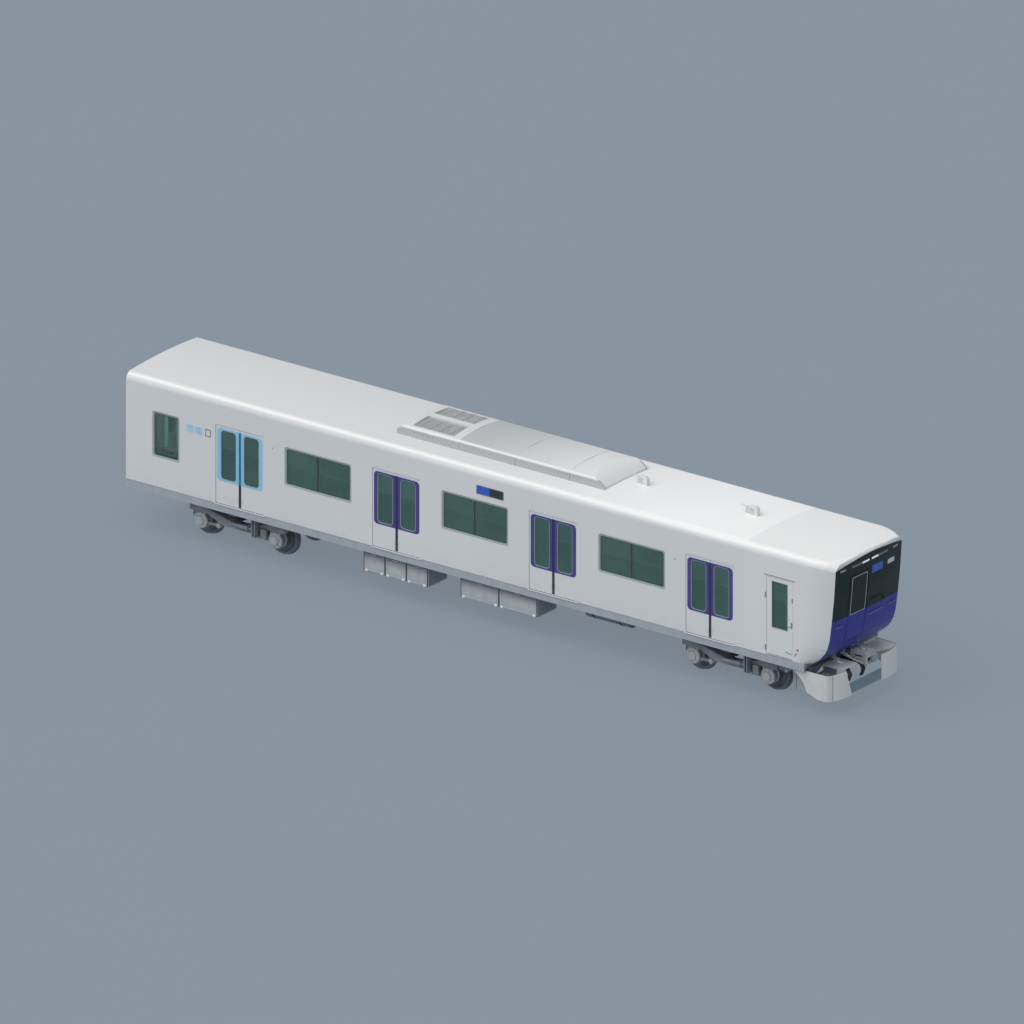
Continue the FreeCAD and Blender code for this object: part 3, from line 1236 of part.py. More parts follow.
def make_motors(name, centre):
    """A traction motor across the bogie beside each axle."""
    motors = []
    for way in (-1, 1):
        x = "%s + %d * motor_run" % (centre, way)
        motors.append(rod("%s_motor_%d" % (name, way), "y", "-motor_half", "motor_half", "motor_radius",
                          (x, "axle_z + 30"), sides=8))
    keep(together(name + "_motor_pair", motors), name + "_motors")


def make_bogie(name, centre, guards):
    make_bogie_frame(name, centre, guards)
    make_axle_boxes(name, centre)
    make_air_springs(name, centre)
    make_motors(name, centre)
    for way, end in ((-1, "rear"), (1, "front")):
        wheelset("%s_%s_wheelset" % (name, end), "%s + %d * half_wheelbase" % (centre, way))


SIDES = ("left", "right")
make_underframe()
make_roof()
for wall_side in SIDES:
    make_side_wall(wall_side)
    make_windows(wall_side)
    for leaf_way in (1, -1):
        make_leaves(wall_side, leaf_way)
    make_cab_door(wall_side)
make_rear_end()
make_gangway()
make_cab()
make_roof_gear()
make_underfloor()
make_skirt()
make_coupler("front_coupler", 1)
make_coupler("rear_coupler", -1)
make_cab_inside()
make_saloon_inside()
make_bogie("rear_bogie", "bogie_rear_x", False)
make_bogie("front_bogie", "bogie_front_x", True)

document.recompute()
for item in document.Objects:
    if "Invalid" in item.State or "Error" in item.State:
        raise RuntimeError("%s did not recompute: %s" % (item.Label, item.State))
os.makedirs("parts", exist_ok=True)
for item in sub_parts:
    if item.Shape.isNull() or not item.Shape.isValid():
        raise RuntimeError("%s has no valid shape" % item.Label)
    item.Shape.exportStep("parts/%s.step" % item.Label)
    box = item.Shape.BoundBox
    print("%-26s %2d solids  x %8.0f %8.0f  y %6.0f %6.0f  z %5.0f %5.0f" % (
        item.Label, len(item.Shape.Solids), box.XMin, box.XMax, box.YMin, box.YMax, box.ZMin, box.ZMax))
print(len(sub_parts), "sub-parts")
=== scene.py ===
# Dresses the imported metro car: finishes, fitted parts, light, floor and camera.
import math

import bmesh
import bpy
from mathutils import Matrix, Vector
from mathutils.bvhtree import BVHTree


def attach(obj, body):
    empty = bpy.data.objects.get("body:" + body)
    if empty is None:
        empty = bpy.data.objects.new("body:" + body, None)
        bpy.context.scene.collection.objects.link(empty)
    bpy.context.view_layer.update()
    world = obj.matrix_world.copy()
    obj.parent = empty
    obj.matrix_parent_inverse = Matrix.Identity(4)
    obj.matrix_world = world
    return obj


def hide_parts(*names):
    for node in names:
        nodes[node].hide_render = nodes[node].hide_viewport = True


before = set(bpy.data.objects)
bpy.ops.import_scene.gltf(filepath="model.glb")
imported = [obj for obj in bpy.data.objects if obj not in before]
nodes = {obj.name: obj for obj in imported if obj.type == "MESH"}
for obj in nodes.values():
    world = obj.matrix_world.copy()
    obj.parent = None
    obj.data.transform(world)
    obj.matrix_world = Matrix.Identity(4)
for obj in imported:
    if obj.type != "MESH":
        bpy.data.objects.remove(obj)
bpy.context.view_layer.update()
print("car loaded:", len(nodes), "CAD parts")


# the photograph's view, with parallel lines as it has them
photoView = {
    "azimuth": 36.85, "elevation": 21.55, "lookAt": (-0.05, 0.0, 2.25), "span": 22.96, "distance": 60.0,
    "near": 1.0, "far": 300.0,
}


# the way towards a far point seen at this angle round the car and above the floor
def wayTo(azimuth, elevation):
    around, rise = math.radians(azimuth), math.radians(elevation)
    return Vector((math.sin(around) * math.cos(rise), -math.cos(around) * math.cos(rise), math.sin(rise)))


def addObject(name, data):
    made = bpy.data.objects.new(name, data)
    bpy.context.scene.collection.objects.link(made)
    return made


def setCamera(view):
    back = wayTo(view["azimuth"], view["elevation"])
    lens = bpy.data.cameras.new("photoLens")
    lens.type = "ORTHO"
    lens.ortho_scale = view["span"]
    lens.clip_start, lens.clip_end = view["near"], view["far"]
    camera = addObject("photoCamera", lens)
    camera.location = Vector(view["lookAt"]) + back * view["distance"]
    camera.rotation_euler = (-back).to_track_quat("-Z", "Y").to_euler()
    bpy.context.scene.camera = camera


setCamera(photoView)


# shader sums: one wrapped socket, so that a finish reads as an expression
class Wire:
    def __init__(self, tree, socket=None):
        self.tree = tree
        self.socket = socket

    def node(self, kind, settings=None, sockets=None, out=0):
        made = self.tree.nodes.new(kind)
        for name, value in (settings or {}).items():
            setattr(made, name, value)
        for key, value in (sockets or {}).items():
            if isinstance(value, Wire):
                self.tree.links.new(value.socket, made.inputs[key])
            else:
                made.inputs[key].default_value = value
        return Wire(self.tree, made.outputs[out])

    def sum(self, operation, first, second):
        return self.node("ShaderNodeMath", {"operation": operation}, {0: first, 1: second})

    def __add__(self, other):
        return self.sum("ADD", self, other)

    def __radd__(self, other):
        return self.sum("ADD", other, self)

    def __sub__(self, other):
        return self.sum("SUBTRACT", self, other)

    def __rsub__(self, other):
        return self.sum("SUBTRACT", other, self)

    def __mul__(self, other):
        return self.sum("MULTIPLY", self, other)

    def __rmul__(self, other):
        return self.sum("MULTIPLY", other, self)

    def __truediv__(self, other):
        return self.sum("DIVIDE", self, other)

    def __rtruediv__(self, other):
        return self.sum("DIVIDE", other, self)

    # the point in the car's own metres
    def place(self):
        return self.node("ShaderNodeTexCoord", out=3)

    def part(self, letter):
        return self.node("ShaderNodeSeparateXYZ", None, {0: self}, "XYZ".index(letter))

    def stretched(self, scale):
        return self.node("ShaderNodeVectorMath", {"operation": "MULTIPLY"}, {0: self, 1: scale})

    def cloud(self, scale, detail=3.0, rough=0.5):
        sockets = {"Vector": self, "Scale": scale, "Detail": detail, "Roughness": rough}
        return self.node("ShaderNodeTexNoise", None, sockets)

    def bands(self, letter, scale):
        sockets = {"Vector": self, "Scale": scale, "Distortion": 0.4}
        return self.node("ShaderNodeTexWave", {"bands_direction": letter}, sockets)

    # 0 below low, 1 above high, smooth between
    def rising(self, low, high):
        limits = {0: self, 1: low, 2: high}
        return self.node("ShaderNodeMapRange", {"interpolation_type": "SMOOTHSTEP"}, limits)

    # this value as the share of the second colour
    def tint(self, first, second):
        pair = [item if isinstance(item, Wire) else (*item, 1) for item in (first, second)]
        return self.node("ShaderNodeMix", {"data_type": "RGBA"}, {0: self, 6: pair[0], 7: pair[1]}, 2)

    def bump(self, strength, depth):
        return self.node("ShaderNodeBump", None, {"Strength": strength, "Distance": depth, "Height": self})


def makeFinish(name, fixed, paint):
    made = bpy.data.materials.new(name)
    made.use_nodes = True
    shader = made.node_tree.nodes["Principled BSDF"]
    for socket, value in fixed.items():
        shader.inputs[socket].default_value = value
    for socket, wire in paint(Wire(made.node_tree)).items():
        made.node_tree.links.new(wire.socket, shader.inputs[socket])
    return made


# painted body: seams, streaks and road film, with painted light: a roof darker at the rear and lighter
# towards the front, a painted highlight along the shoulder, and painted shade on what stands proud
def bodyPaint(name, look):
    def paint(start):
        spot = start.place()
        along, height = spot.part("X"), spot.part("Z")
        across = spot.part("Y") * spot.part("Y")
        tone = spot.cloud(0.35, 2.0).rising(0.3, 0.7)
        # painted light: the roof is darker at the rear and grows lighter towards the front, and is lighter
        # again behind roofBack
        roofLight = along.rising(look["roofRear"], look["roofFront"])
        roofLight = roofLight + (1 - along.rising(look["roofBack"] - 0.02, look["roofBack"])) * 0.7
        roof = roofLight.tint(look["roof"], look["roofPale"])
        above = height.rising(look["roofLow"], look["roofHigh"])
        clean = above.tint(tone.tint(look["colour"], look["tone"]), roof)
        # painted highlight: a lighter band along the shoulder, out towards the sides only
        ridge = height.rising(*look["ridge"][:2]) * (1 - height.rising(*look["ridge"][2:]))
        ridge = ridge * across.rising(look["ridgeFrom"] ** 2, (look["ridgeFrom"] + 0.02) ** 2)
        clean = ridge.tint(clean, look["ridgeTone"])
        for x in look["joints"]:
            apart = along - x
            seam = 1 - (apart * apart).rising(*[width ** 2 for width in look["jointWide"]])
            seam = seam * (1 - across.rising(*[width ** 2 for width in look["jointEnd"]]))
            clean = seam.tint(clean, look["jointTone"])
        # painted shade on what stands out beyond a width, below a height: the air conditioner's sides; on the
        # cab's gutter it is partly the gutter's own grey, partly painted shade
        beyond = across.rising(look["proud"] ** 2, (look["proud"] + 0.002) ** 2)
        beyond = beyond * (1 - height.rising(look["proudTop"], look["proudTop"] + 0.02))
        clean = beyond.tint(clean, look["proudTone"])
        streaks = spot.stretched((9.0, 9.0, 0.35)).cloud(1.0, 4.0, 0.6).rising(0.52, 0.85)
        film = 1 - height.rising(look["filmTop"] - 0.45, look["filmTop"])
        speckle = spot.cloud(14.0, 4.0, 0.65).rising(0.4, 0.75)
        dirt = streaks * look["streaks"] + film * speckle * look["film"]
        waves = spot.cloud(2.2, 1.0) + spot.cloud(160.0, 1.0) * 0.04
        return {
            "Base Color": dirt.tint(clean, look["dust"]),
            "Roughness": look["rough"] + dirt * 0.35 + speckle * 0.04,
            "Normal": waves.bump(0.25, look["waviness"]),
        }
    fixed = {"Specular IOR Level": 0.35, "Coat Weight": look["coat"], "Coat Roughness": 0.12}
    return makeFinish(name, fixed, paint)


# grey paint of the running gear: darker in the hollows, chalky mottling, rubbed spots
def gearPaint(name, look):
    def paint(start):
        spot = start.place()
        mottle = spot.cloud(5.0, 5.0, 0.6).rising(0.3, 0.75)
        # darker where nearby parts hem the surface in, from ambient occlusion, and along random runs
        hollow = 1 - start.node("ShaderNodeAmbientOcclusion", {"samples": 6}, {"Distance": look["hollow"]}, 1)
        runs = spot.stretched((14.0, 14.0, 1.4)).cloud(1.0, 3.0).rising(0.5, 0.78)
        dust = hollow.rising(0.1, 0.8) * look["grime"] + runs * look["runs"]
        rubbed = spot.cloud(38.0, 3.0, 0.7).rising(0.7, 0.76) * look["rubbed"]
        clean = mottle.tint(look["colour"], look["tone"])
        # above its limits the height tone is painted shade: the tops of the equipment box doors darker under
        # the floor's overhang
        for letter, limits in (("Z", "fade"), ("X", "front")):  # another tone above or ahead of these limits
            if limits in look:
                clean = spot.part(letter).rising(*look[limits]).tint(clean, look[limits + "Tone"])
        # painted shade on the skirt's inner faces, behind its panels and below the step plate
        if "inside" in look:
            rear, plates, front, wall, top = look["inside"]
            along, across = spot.part("X"), spot.part("Y")
            lid = spot.part("Z").rising(top, top + 0.004) * along.rising(plates, plates + 0.01)
            insideShade = across.rising(-wall - 0.01, -wall) * (1 - across.rising(0, 0.01)) * (1 - lid)
            insideShade = insideShade * along.rising(rear, rear + 0.01) * (1 - along.rising(front, front + 0.01))
            clean = insideShade.tint(clean, look["insideTone"])
        grain = spot.cloud(90.0, 2.0) * 0.5 + spot.cloud(320.0, 1.0) * 0.3
        return {
            "Base Color": rubbed.tint(dust.tint(clean, look["dust"]), look["bare"]),
            "Roughness": look["rough"] + dust * 0.25 - rubbed * 0.15,
            "Metallic": look["metal"] + rubbed * 0.5,
            "Normal": grain.bump(0.35, look["grain"]),
        }
    return makeFinish(name, {}, paint)


# glass that shows the room behind faintly, clearer at the rear, with a wiped film of dust and a painted
# reflection, lighter above a level line
def paneGlass(name, look):
    def paint(start):
        spot = start.place()
        wipe = spot.stretched((1.5, 1.5, 6.0)).cloud(1.0, 3.0).rising(0.45, 0.8)
        haze = spot.cloud(0.9, 2.0).rising(0.35, 0.7)
        # painted reflection: the glass is lighter above a level line, as if it mirrored the horizon
        paintedReflection = spot.part("Z").rising(look["horizon"] - 0.012, look["horizon"] + 0.012)
        rear = 1 - spot.part("X").rising(*look["clearTo"])
        return {
            "Base Color": (haze * 0.5 + paintedReflection * 0.5).tint(look["colour"], look["tone"]),
            "Roughness": look["rough"] + wipe * 0.05,
            "Alpha": look["veil"] + haze * 0.06 + wipe * 0.02 - rear * look["clear"],
            "Normal": spot.cloud(1.3, 1.0).bump(0.12, 0.02),
        }
    return makeFinish(name, {"Coat Weight": 0.4, "Coat Roughness": 0.02, "IOR": 1.5}, paint)


# smooth moulded or painted parts: a fine grain, dulled patches, another colour below a line if asked
def mouldedFinish(name, look):
    def paint(start):
        spot = start.place()
        patch = spot.cloud(look["patch"], 4.0, 0.6).rising(0.35, 0.75)
        colour = patch.tint(look["colour"], look["tone"])
        if "line" in look:
            above = spot.part("Z").rising(look["line"] - 0.002, look["line"] + 0.002)
            colour = above.tint(patch.tint(*look["below"]), colour)
        return {
            "Base Color": colour,
            "Roughness": look["rough"] + patch * 0.12,
            "Normal": spot.cloud(look["grain"], 2.0).bump(0.3, look["depth"]),
        }
    shine = look.get("shine", 0.4)
    fixed = {"Specular IOR Level": shine, "Coat Weight": look["coat"], "Coat Roughness": 0.08}
    return makeFinish(name, fixed, paint)


# bare or plated metal: drawn lines along one way, darker where it is handled or dusty
def barePlate(name, look):
    def paint(start):
        spot = start.place()
        lines = spot.stretched(look["drawn"]).cloud(1.0, 4.0, 0.7)
        patch = spot.cloud(4.0, 4.0, 0.6).rising(0.35, 0.8)
        return {
            "Base Color": patch.tint(look["colour"], look["tone"]),
            "Roughness": look["rough"] + lines * 0.18 + patch * 0.12,
            "Normal": lines.bump(0.2, 0.0008),
        }
    return makeFinish(name, {"Metallic": look["metal"]}, paint)


# the saloon's woven seat cover
def seatWeave(name, look):
    def paint(start):
        spot = start.place()
        worn = spot.cloud(3.0, 3.0).rising(0.4, 0.75)
        threads = spot.bands("X", look["threads"]) * spot.bands("Z", look["threads"])
        colour = (threads * 0.5 + worn * 0.3).tint(look["colour"], look["tone"])
        return {"Base Color": colour, "Roughness": 0.85 - worn * 0.1, "Normal": threads.bump(0.5, 0.0015)}
    return makeFinish(name, {"Sheen Weight": 0.35, "Sheen Roughness": 0.5}, paint)


# a lamp or sign that is lit evenly behind its cover; the rear partition uses it too, where the glow is
# painted light, as it is no lamp
def litCover(name, look):
    def paint(start):
        fine = start.place().stretched(look["cells"]).cloud(1.0, 2.0).rising(0.3, 0.7)
        return {
            "Base Color": fine.tint(look["colour"], look["tone"]),
            "Emission Color": fine.tint(look["glow"], look["glowTone"]),
            "Roughness": 0.18 + fine * 0.12,
        }
    return makeFinish(name, {"Emission Strength": look["strength"], "Coat Weight": 0.5}, paint)


# the roof's two tones are painted light, darker at the rear and lighter at the front; the ridge tone is a
# painted highlight along the shoulder; the proud tone is the cab gutter's grey with painted shade
bodyLook = {
    "colour": (0.722, 0.732, 0.740), "tone": (0.694, 0.706, 0.716), "rough": 0.40, "coat": 0.15,
    "waviness": 0.0015, "roof": (0.690, 0.695, 0.698), "roofPale": (0.900, 0.900, 0.897), "roofRear": -0.5,
    "roofFront": 6.0, "roofBack": -30.0, "roofLow": 3.60, "roofHigh": 3.77,
    "ridge": (3.675, 3.705, 3.720, 3.752), "ridgeFrom": 0.5, "ridgeTone": (0.830, 0.832, 0.834),
    "dust": (0.50, 0.50, 0.49), "streaks": 0.06, "film": 0.25, "filmTop": 1.65, "proud": 1.5,
    "proudTop": 9.0, "proudTone": (0.30, 0.32, 0.33), "joints": (), "jointWide": (0.0055, 0.0105),
    "jointEnd": (0.66, 0.68), "jointTone": (0.44, 0.45, 0.46),
}


def shaded(look, share):
    parts = ("colour", "tone", "roof", "roofPale", "ridgeTone")
    return dict(look, **{part: tuple(share * channel for channel in look[part]) for part in parts})


# the cab's paler roof tone and its ridge tone are painted light as well
cabPaint = dict(
    shaded(bodyLook, 1.035), proud=1.4015, roofPale=(0.825, 0.825, 0.822), ridgeTone=(0.850, 0.850, 0.850))
# the unit's roof tones are painted light, lighter towards the front; its ridge tone is a painted highlight on
# the top edges of its sides; its proud tone is painted shade on its sides
unitPaint = dict(
    shaded(bodyLook, 0.67), rough=0.5, joints=(-0.94, 0.64, 2.15), roof=(0.475, 0.487, 0.495),
    roofPale=(0.735, 0.737, 0.742), roofRear=-1.0, roofFront=3.2, roofBack=-0.94, roofLow=3.3, roofHigh=3.4,
    ridge=(3.965, 3.985, 4.005, 4.022), ridgeFrom=0.66, ridgeTone=(0.76, 0.765, 0.77),
    proud=0.74, proudTop=3.955, proudTone=(0.485, 0.492, 0.500))
gearLook = {
    "colour": (0.300, 0.335, 0.365), "tone": (0.250, 0.280, 0.308), "dust": (0.10, 0.095, 0.09),
    "bare": (0.42, 0.43, 0.44), "hollow": 0.12, "grime": 0.5, "runs": 0.12, "rubbed": 0.3, "rough": 0.5,
    "metal": 0.0, "grain": 0.0006,
}
# the skirt: a lighter tone on its front, and painted shade on its inner faces
skirtLook = dict(
    gearLook, colour=(0.66, 0.665, 0.665), tone=(0.60, 0.607, 0.61), dust=(0.25, 0.25, 0.25), grime=0.25,
    runs=0.05, rubbed=0.1, front=(9.80, 9.86), frontTone=(0.80, 0.81, 0.82),
    inside=(9.10, 9.25, 9.755, 1.275, 1.012), insideTone=(0.11, 0.14, 0.17))
moulding = {"patch": 6.0, "grain": 260.0, "depth": 0.0004, "rough": 0.62, "coat": 0.0}
enamel = {"patch": 2.0, "grain": 70.0, "depth": 0.0002, "rough": 0.32, "coat": 0.2}
maskLook = {
    "colour": (0.042, 0.050, 0.335), "tone": (0.050, 0.060, 0.380), "patch": 0.8, "grain": 120.0,
    "depth": 0.0002, "rough": 0.28, "coat": 0.1, "shine": 0.3,
}
screenLook = dict(maskLook, colour=(0.009, 0.022, 0.024), tone=(0.018, 0.036, 0.038), rough=0.14, shine=0.25)
alloyLook = {"rough": 0.30, "metal": 0.7, "drawn": (2.0, 90.0, 90.0)}
# the glass's second tone serves its haze and a painted reflection above a level line
glassLook = {
    "colour": (0.050, 0.126, 0.107), "tone": (0.080, 0.172, 0.152), "rough": 0.05, "veil": 0.66,
    "horizon": 2.54, "clear": 0.22, "clearTo": (-8.2, -8.1),
}
fineCells = (160.0, 160.0, 160.0)
lampCells = (30.0, 60.0, 60.0)

# each finish: the material's name, its maker, the look it starts from, what it has of its own
finishRows = {
    "body_white": ("bodyWhite", bodyPaint, bodyLook, {}),
    "roof_white": ("roofWhite", bodyPaint, bodyLook, {}),
    "door_paint": ("doorWhite", bodyPaint, bodyLook, {"rough": 0.34}),
    "cabWhite": ("cabWhite", bodyPaint, cabPaint, {}),
    "unitGrey": ("unitGrey", bodyPaint, unitPaint, {}),
    "underframe_grey": ("underframeGrey", gearPaint, gearLook, {
        "colour": (0.402, 0.445, 0.485), "tone": (0.360, 0.400, 0.440), "grime": 0.3}),
    "skirt_grey": ("skirtGrey", gearPaint, skirtLook, {}),
    "bogie_grey": ("bogieGrey", gearPaint, gearLook, {
        "colour": (0.285, 0.315, 0.338), "tone": (0.210, 0.235, 0.255), "grime": 0.4, "rubbed": 0.15,
        "grain": 0.0012, "front": (8.25, 8.30), "frontTone": (0.56, 0.575, 0.585)}),
    "coupler_steel": ("couplerGrey", gearPaint, gearLook, {
        "colour": (0.40, 0.42, 0.44), "tone": (0.31, 0.33, 0.35), "grime": 0.6, "rubbed": 0.9}),
    "tankGrey": ("tankGrey", gearPaint, gearLook, {
        "colour": (0.175, 0.235, 0.285), "tone": (0.150, 0.205, 0.250), "grime": 0.2}),
    "drumGrey": ("drumGrey", gearPaint, gearLook, {
        "colour": (0.53, 0.545, 0.550), "tone": (0.45, 0.465, 0.47), "grime": 0.35}),
    # the skirt's dark middle plate: partly a darker part, partly painted shade
    "plateDark": ("plateDark", gearPaint, gearLook, {
        "colour": (0.24, 0.32, 0.40), "tone": (0.21, 0.29, 0.36), "rubbed": 0.1}),
    "endGrey": ("endGrey", gearPaint, gearLook, {
        "colour": (0.27, 0.315, 0.35), "tone": (0.24, 0.28, 0.315), "rubbed": 0.1}),
    # painted shade: the box doors are darker towards their tops, under the car's floor
    "boxGrey": ("boxGrey", gearPaint, gearLook, {
        "colour": (0.47, 0.49, 0.51), "tone": (0.42, 0.44, 0.46), "rubbed": 0.1,
        "fade": (0.70, 1.01), "fadeTone": (0.17, 0.195, 0.22)}),
    "mask_blue": ("maskBlue", mouldedFinish, maskLook, {}),
    "screen_black": ("screenBlack", mouldedFinish, screenLook, {}),
    "exitDoor": ("exitDoor", mouldedFinish, screenLook, {
        "line": 2.30, "below": (maskLook["colour"], maskLook["tone"])}),
    "glass_green": ("sideGlass", paneGlass, glassLook, {}),
    "door_band": ("doorGlass", paneGlass, glassLook, {"veil": 0.74}),
    "window_frame": ("windowFrame", barePlate, alloyLook, {
        "colour": (0.50, 0.52, 0.54), "tone": (0.40, 0.42, 0.44)}),
    "pole_steel": ("poleSteel", barePlate, alloyLook, {
        "colour": (0.70, 0.71, 0.72), "tone": (0.40, 0.42, 0.44), "rough": 0.16, "drawn": (90.0, 90.0, 3.0)}),
    "wheel_steel": ("wheelSteel", barePlate, alloyLook, {
        "colour": (0.185, 0.205, 0.225), "tone": (0.115, 0.130, 0.145), "rough": 0.45, "metal": 0.2,
        "drawn": (60.0, 4.0, 60.0)}),
    "paleTrim": ("paleTrim", barePlate, alloyLook, {
        "colour": (0.62, 0.65, 0.66), "tone": (0.54, 0.57, 0.58), "metal": 0.2}),
    "frameGreen": ("frameGreen", barePlate, alloyLook, {
        "colour": (0.36, 0.415, 0.405), "tone": (0.31, 0.365, 0.355), "metal": 0.0}),
    "brightSill": ("brightSill", barePlate, alloyLook, {
        "colour": (0.86, 0.87, 0.88), "tone": (0.74, 0.75, 0.76), "metal": 0.3}),
    "interior_panel": ("interiorPanel", mouldedFinish, moulding, {
        "colour": (0.66, 0.65, 0.61), "tone": (0.60, 0.59, 0.55), "patch": 1.4, "grain": 90.0,
        "depth": 0.0003, "rough": 0.42, "coat": 0.1}),
    "plateSky": ("plateSky", mouldedFinish, enamel, {
        "colour": (0.36, 0.60, 0.78), "tone": (0.45, 0.67, 0.82), "patch": 9.0, "grain": 80.0, "rough": 0.35,
        "coat": 0.1}),
    "seat_fabric": ("seatWeave", seatWeave, {}, {
        "colour": (0.030, 0.045, 0.150), "tone": (0.070, 0.095, 0.260), "threads": 95.0}),
}
# the plain ones: look, first colour, second colour, roughness
plainRows = {
    "bandPurple": (enamel, (0.062, 0.055, 0.230), (0.078, 0.070, 0.265), 0.32),
    "bandSky": (enamel, (0.285, 0.560, 0.800), (0.320, 0.600, 0.840), 0.32),
    "rubber": (moulding, (0.030, 0.033, 0.037), (0.055, 0.057, 0.060), 0.62),
    "rimTeal": (moulding, (0.26, 0.33, 0.33), (0.30, 0.37, 0.37), 0.4),
    "stileTeal": (moulding, (0.050, 0.110, 0.098), (0.062, 0.125, 0.112), 0.62),
    "seamGrey": (moulding, (0.20, 0.21, 0.22), (0.25, 0.26, 0.27), 0.62),
    "seamPale": (moulding, (0.40, 0.43, 0.45), (0.46, 0.49, 0.51), 0.35),
    "seamDark": (moulding, (0.055, 0.065, 0.075), (0.075, 0.085, 0.095), 0.62),
    "skyNosing": (moulding, (0.020, 0.180, 0.340), (0.030, 0.210, 0.380), 0.62),
    "purpleNosing": (moulding, (0.024, 0.022, 0.100), (0.030, 0.028, 0.120), 0.62),
    "aerialGrey": (moulding, (0.62, 0.63, 0.64), (0.56, 0.57, 0.58), 0.5),
    "backGrey": (moulding, (0.33, 0.34, 0.355), (0.28, 0.29, 0.305), 0.62),
    "slatGrey": (moulding, (0.62, 0.63, 0.645), (0.55, 0.56, 0.575), 0.62),
    "railBlue": (moulding, (0.16, 0.18, 0.42), (0.20, 0.22, 0.48), 0.35),
    "markRed": (moulding, (0.62, 0.06, 0.07), (0.70, 0.10, 0.10), 0.3),
    "markRose": (moulding, (0.50, 0.36, 0.36), (0.55, 0.41, 0.41), 0.3),
    "markYellow": (moulding, (0.62, 0.56, 0.08), (0.50, 0.46, 0.10), 0.62),
    "woodTrim": (moulding, (0.62, 0.46, 0.28), (0.50, 0.36, 0.20), 0.4),
}
# the lit ones: two cover colours, two glow colours, grain and strength
litRows = {
    "lamp_lens": ((0.20, 0.21, 0.22), (0.14, 0.15, 0.155), (0.9, 0.95, 1.0), (0.6, 0.65, 0.7),
                  lampCells, 0.01),
    "signBlue": ((0.02, 0.08, 0.42), (0.03, 0.10, 0.50), (0.02, 0.08, 0.55), (0.04, 0.11, 0.65),
                 fineCells, 0.10),
    "signDark": ((0.012, 0.020, 0.022), (0.020, 0.032, 0.034), (0.05, 0.08, 0.07), (0.02, 0.03, 0.03),
                 fineCells, 0.1),
    "signPale": ((0.62, 0.66, 0.66), (0.46, 0.50, 0.50), (0.8, 0.85, 0.85), (0.5, 0.55, 0.55),
                 (90.0,) * 3, 0.1),
    "lampWhite": ((0.92, 0.94, 0.95), (0.80, 0.83, 0.85), (1.0, 1.0, 1.0), (0.8, 0.85, 0.9), lampCells, 0.35),
    "lampDim": ((0.42, 0.42, 0.43), (0.30, 0.31, 0.32), (1.0, 0.95, 0.9), (0.6, 0.5, 0.5), lampCells, 0.02),
    "ceilingGlow": ((0.80, 0.80, 0.78), (0.74, 0.74, 0.72), (1.0, 0.98, 0.94), (0.95, 0.93, 0.90),
                    (2.0, 20.0, 20.0), 3.0),
    # painted light: the rear partition glows, though it is no lamp, so that it looks lighter through the rear
    # glass
    "partitionTeal": ((0.36, 0.50, 0.54), (0.30, 0.44, 0.48), (0.30, 0.45, 0.50), (0.25, 0.40, 0.45),
                     (6.0, 6.0, 1.0), 0.6),
}

finishes = {}
for key, (name, make, look, own) in finishRows.items():
    finishes[key] = make(name, dict(look, **own))
for key, (look, colour, tone, rough) in plainRows.items():
    finishes[key] = mouldedFinish(key, dict(look, colour=colour, tone=tone, rough=rough))
litParts = ("colour", "tone", "glow", "glowTone", "cells", "strength")
for key, row in litRows.items():
    finishes[key] = litCover("lampLens" if key == "lamp_lens" else key, dict(zip(litParts, row)))

special = {
    "front_exit_door": "exitDoor", "cab_shell": "cabWhite", "cab_door_left": "cabWhite",
    "cab_door_right": "cabWhite", "air_conditioner": "unitGrey", "roof_antennas": "unitGrey",
    "air_tank": "tankGrey",
}
for name, item in nodes.items():
    worn = item.material_slots[0].material.name.split(".")[0]
    item.material_slots[0].material = finishes[special.get(name, worn)]
print("finishes made:", len(finishes))


# loops of points, all in one plane
def spread(first, last, count):
    return [first + (last - first) * step / (count - 1) for step in range(count)]


def roundedLoop(left, right, low, high, radii, steps=6):
    if not isinstance(radii, tuple):
        radii = (radii,) * 4
    loop = []
    corners = ((left, low, 180), (right, low, 270), (right, high, 0), (left, high, 90))
    for (u, v, start), radius in zip(corners, radii):
        midU = u + radius if u == left else u - radius
        midV = v + radius if v == low else v - radius
        for turn in spread(start, start + 90, steps + 1):
            angle = math.radians(turn)
            loop.append((midU + radius * math.cos(angle), midV + radius * math.sin(angle)))
    return loop


# a box (left, right, low, high) with its sides moved out, or in if grow is below 0
def boxLoop(box, grow, radii, steps=6):
    left, right, low, high = box
    return roundedLoop(left - grow, right + grow, low - grow, high + grow, radii, steps)


# a rounded box whose long sides have points between their corners, to bend over a surface
def denseLoop(box, grow, radius, parts):
    corners = boxLoop(box, grow, radius, 3)
    loop = []
    for one, two in zip(corners, corners[1:] + corners[:1]):
        count = parts if math.dist(one, two) > 0.06 else 1
        for share in spread(0, 1, count + 1)[:-1]:
            loop.append((one[0] + (two[0] - one[0]) * share, one[1] + (two[1] - one[1]) * share))
    return loop


# a narrow upright strip with points along both edges
def stripLoop(left, right, low, high, count):
    return [(left, v) for v in spread(low, high, count)] + [(right, v) for v in spread(high, low, count)]


def moved(loop, middle, way=1):
    return [(middle + way * u, v) for u, v in loop]


# points that are measured from a spot
def beside(spot, points):
    return [tuple(a + b for a, b in zip(spot, point)) for point in points]


def softened(route, bend, steps=5):
    route = [Vector(point) for point in route]
    if not bend:
        return route
    points = [route[0]]
    for before, corner, after in zip(route, route[1:], route[2:]):
        start = corner + (before - corner).normalized() * min(bend, (before - corner).length / 2)
        end = corner + (after - corner).normalized() * min(bend, (after - corner).length / 2)
        for share in spread(0, 1, steps):
            points.append(start.lerp(corner, share).lerp(corner.lerp(end, share), share))
    return points + [route[-1]]


# profiles for turning: (distance along the axis, radius) pairs
def flipped(profile, side):
    return [(side * place, radius) for place, radius in profile]


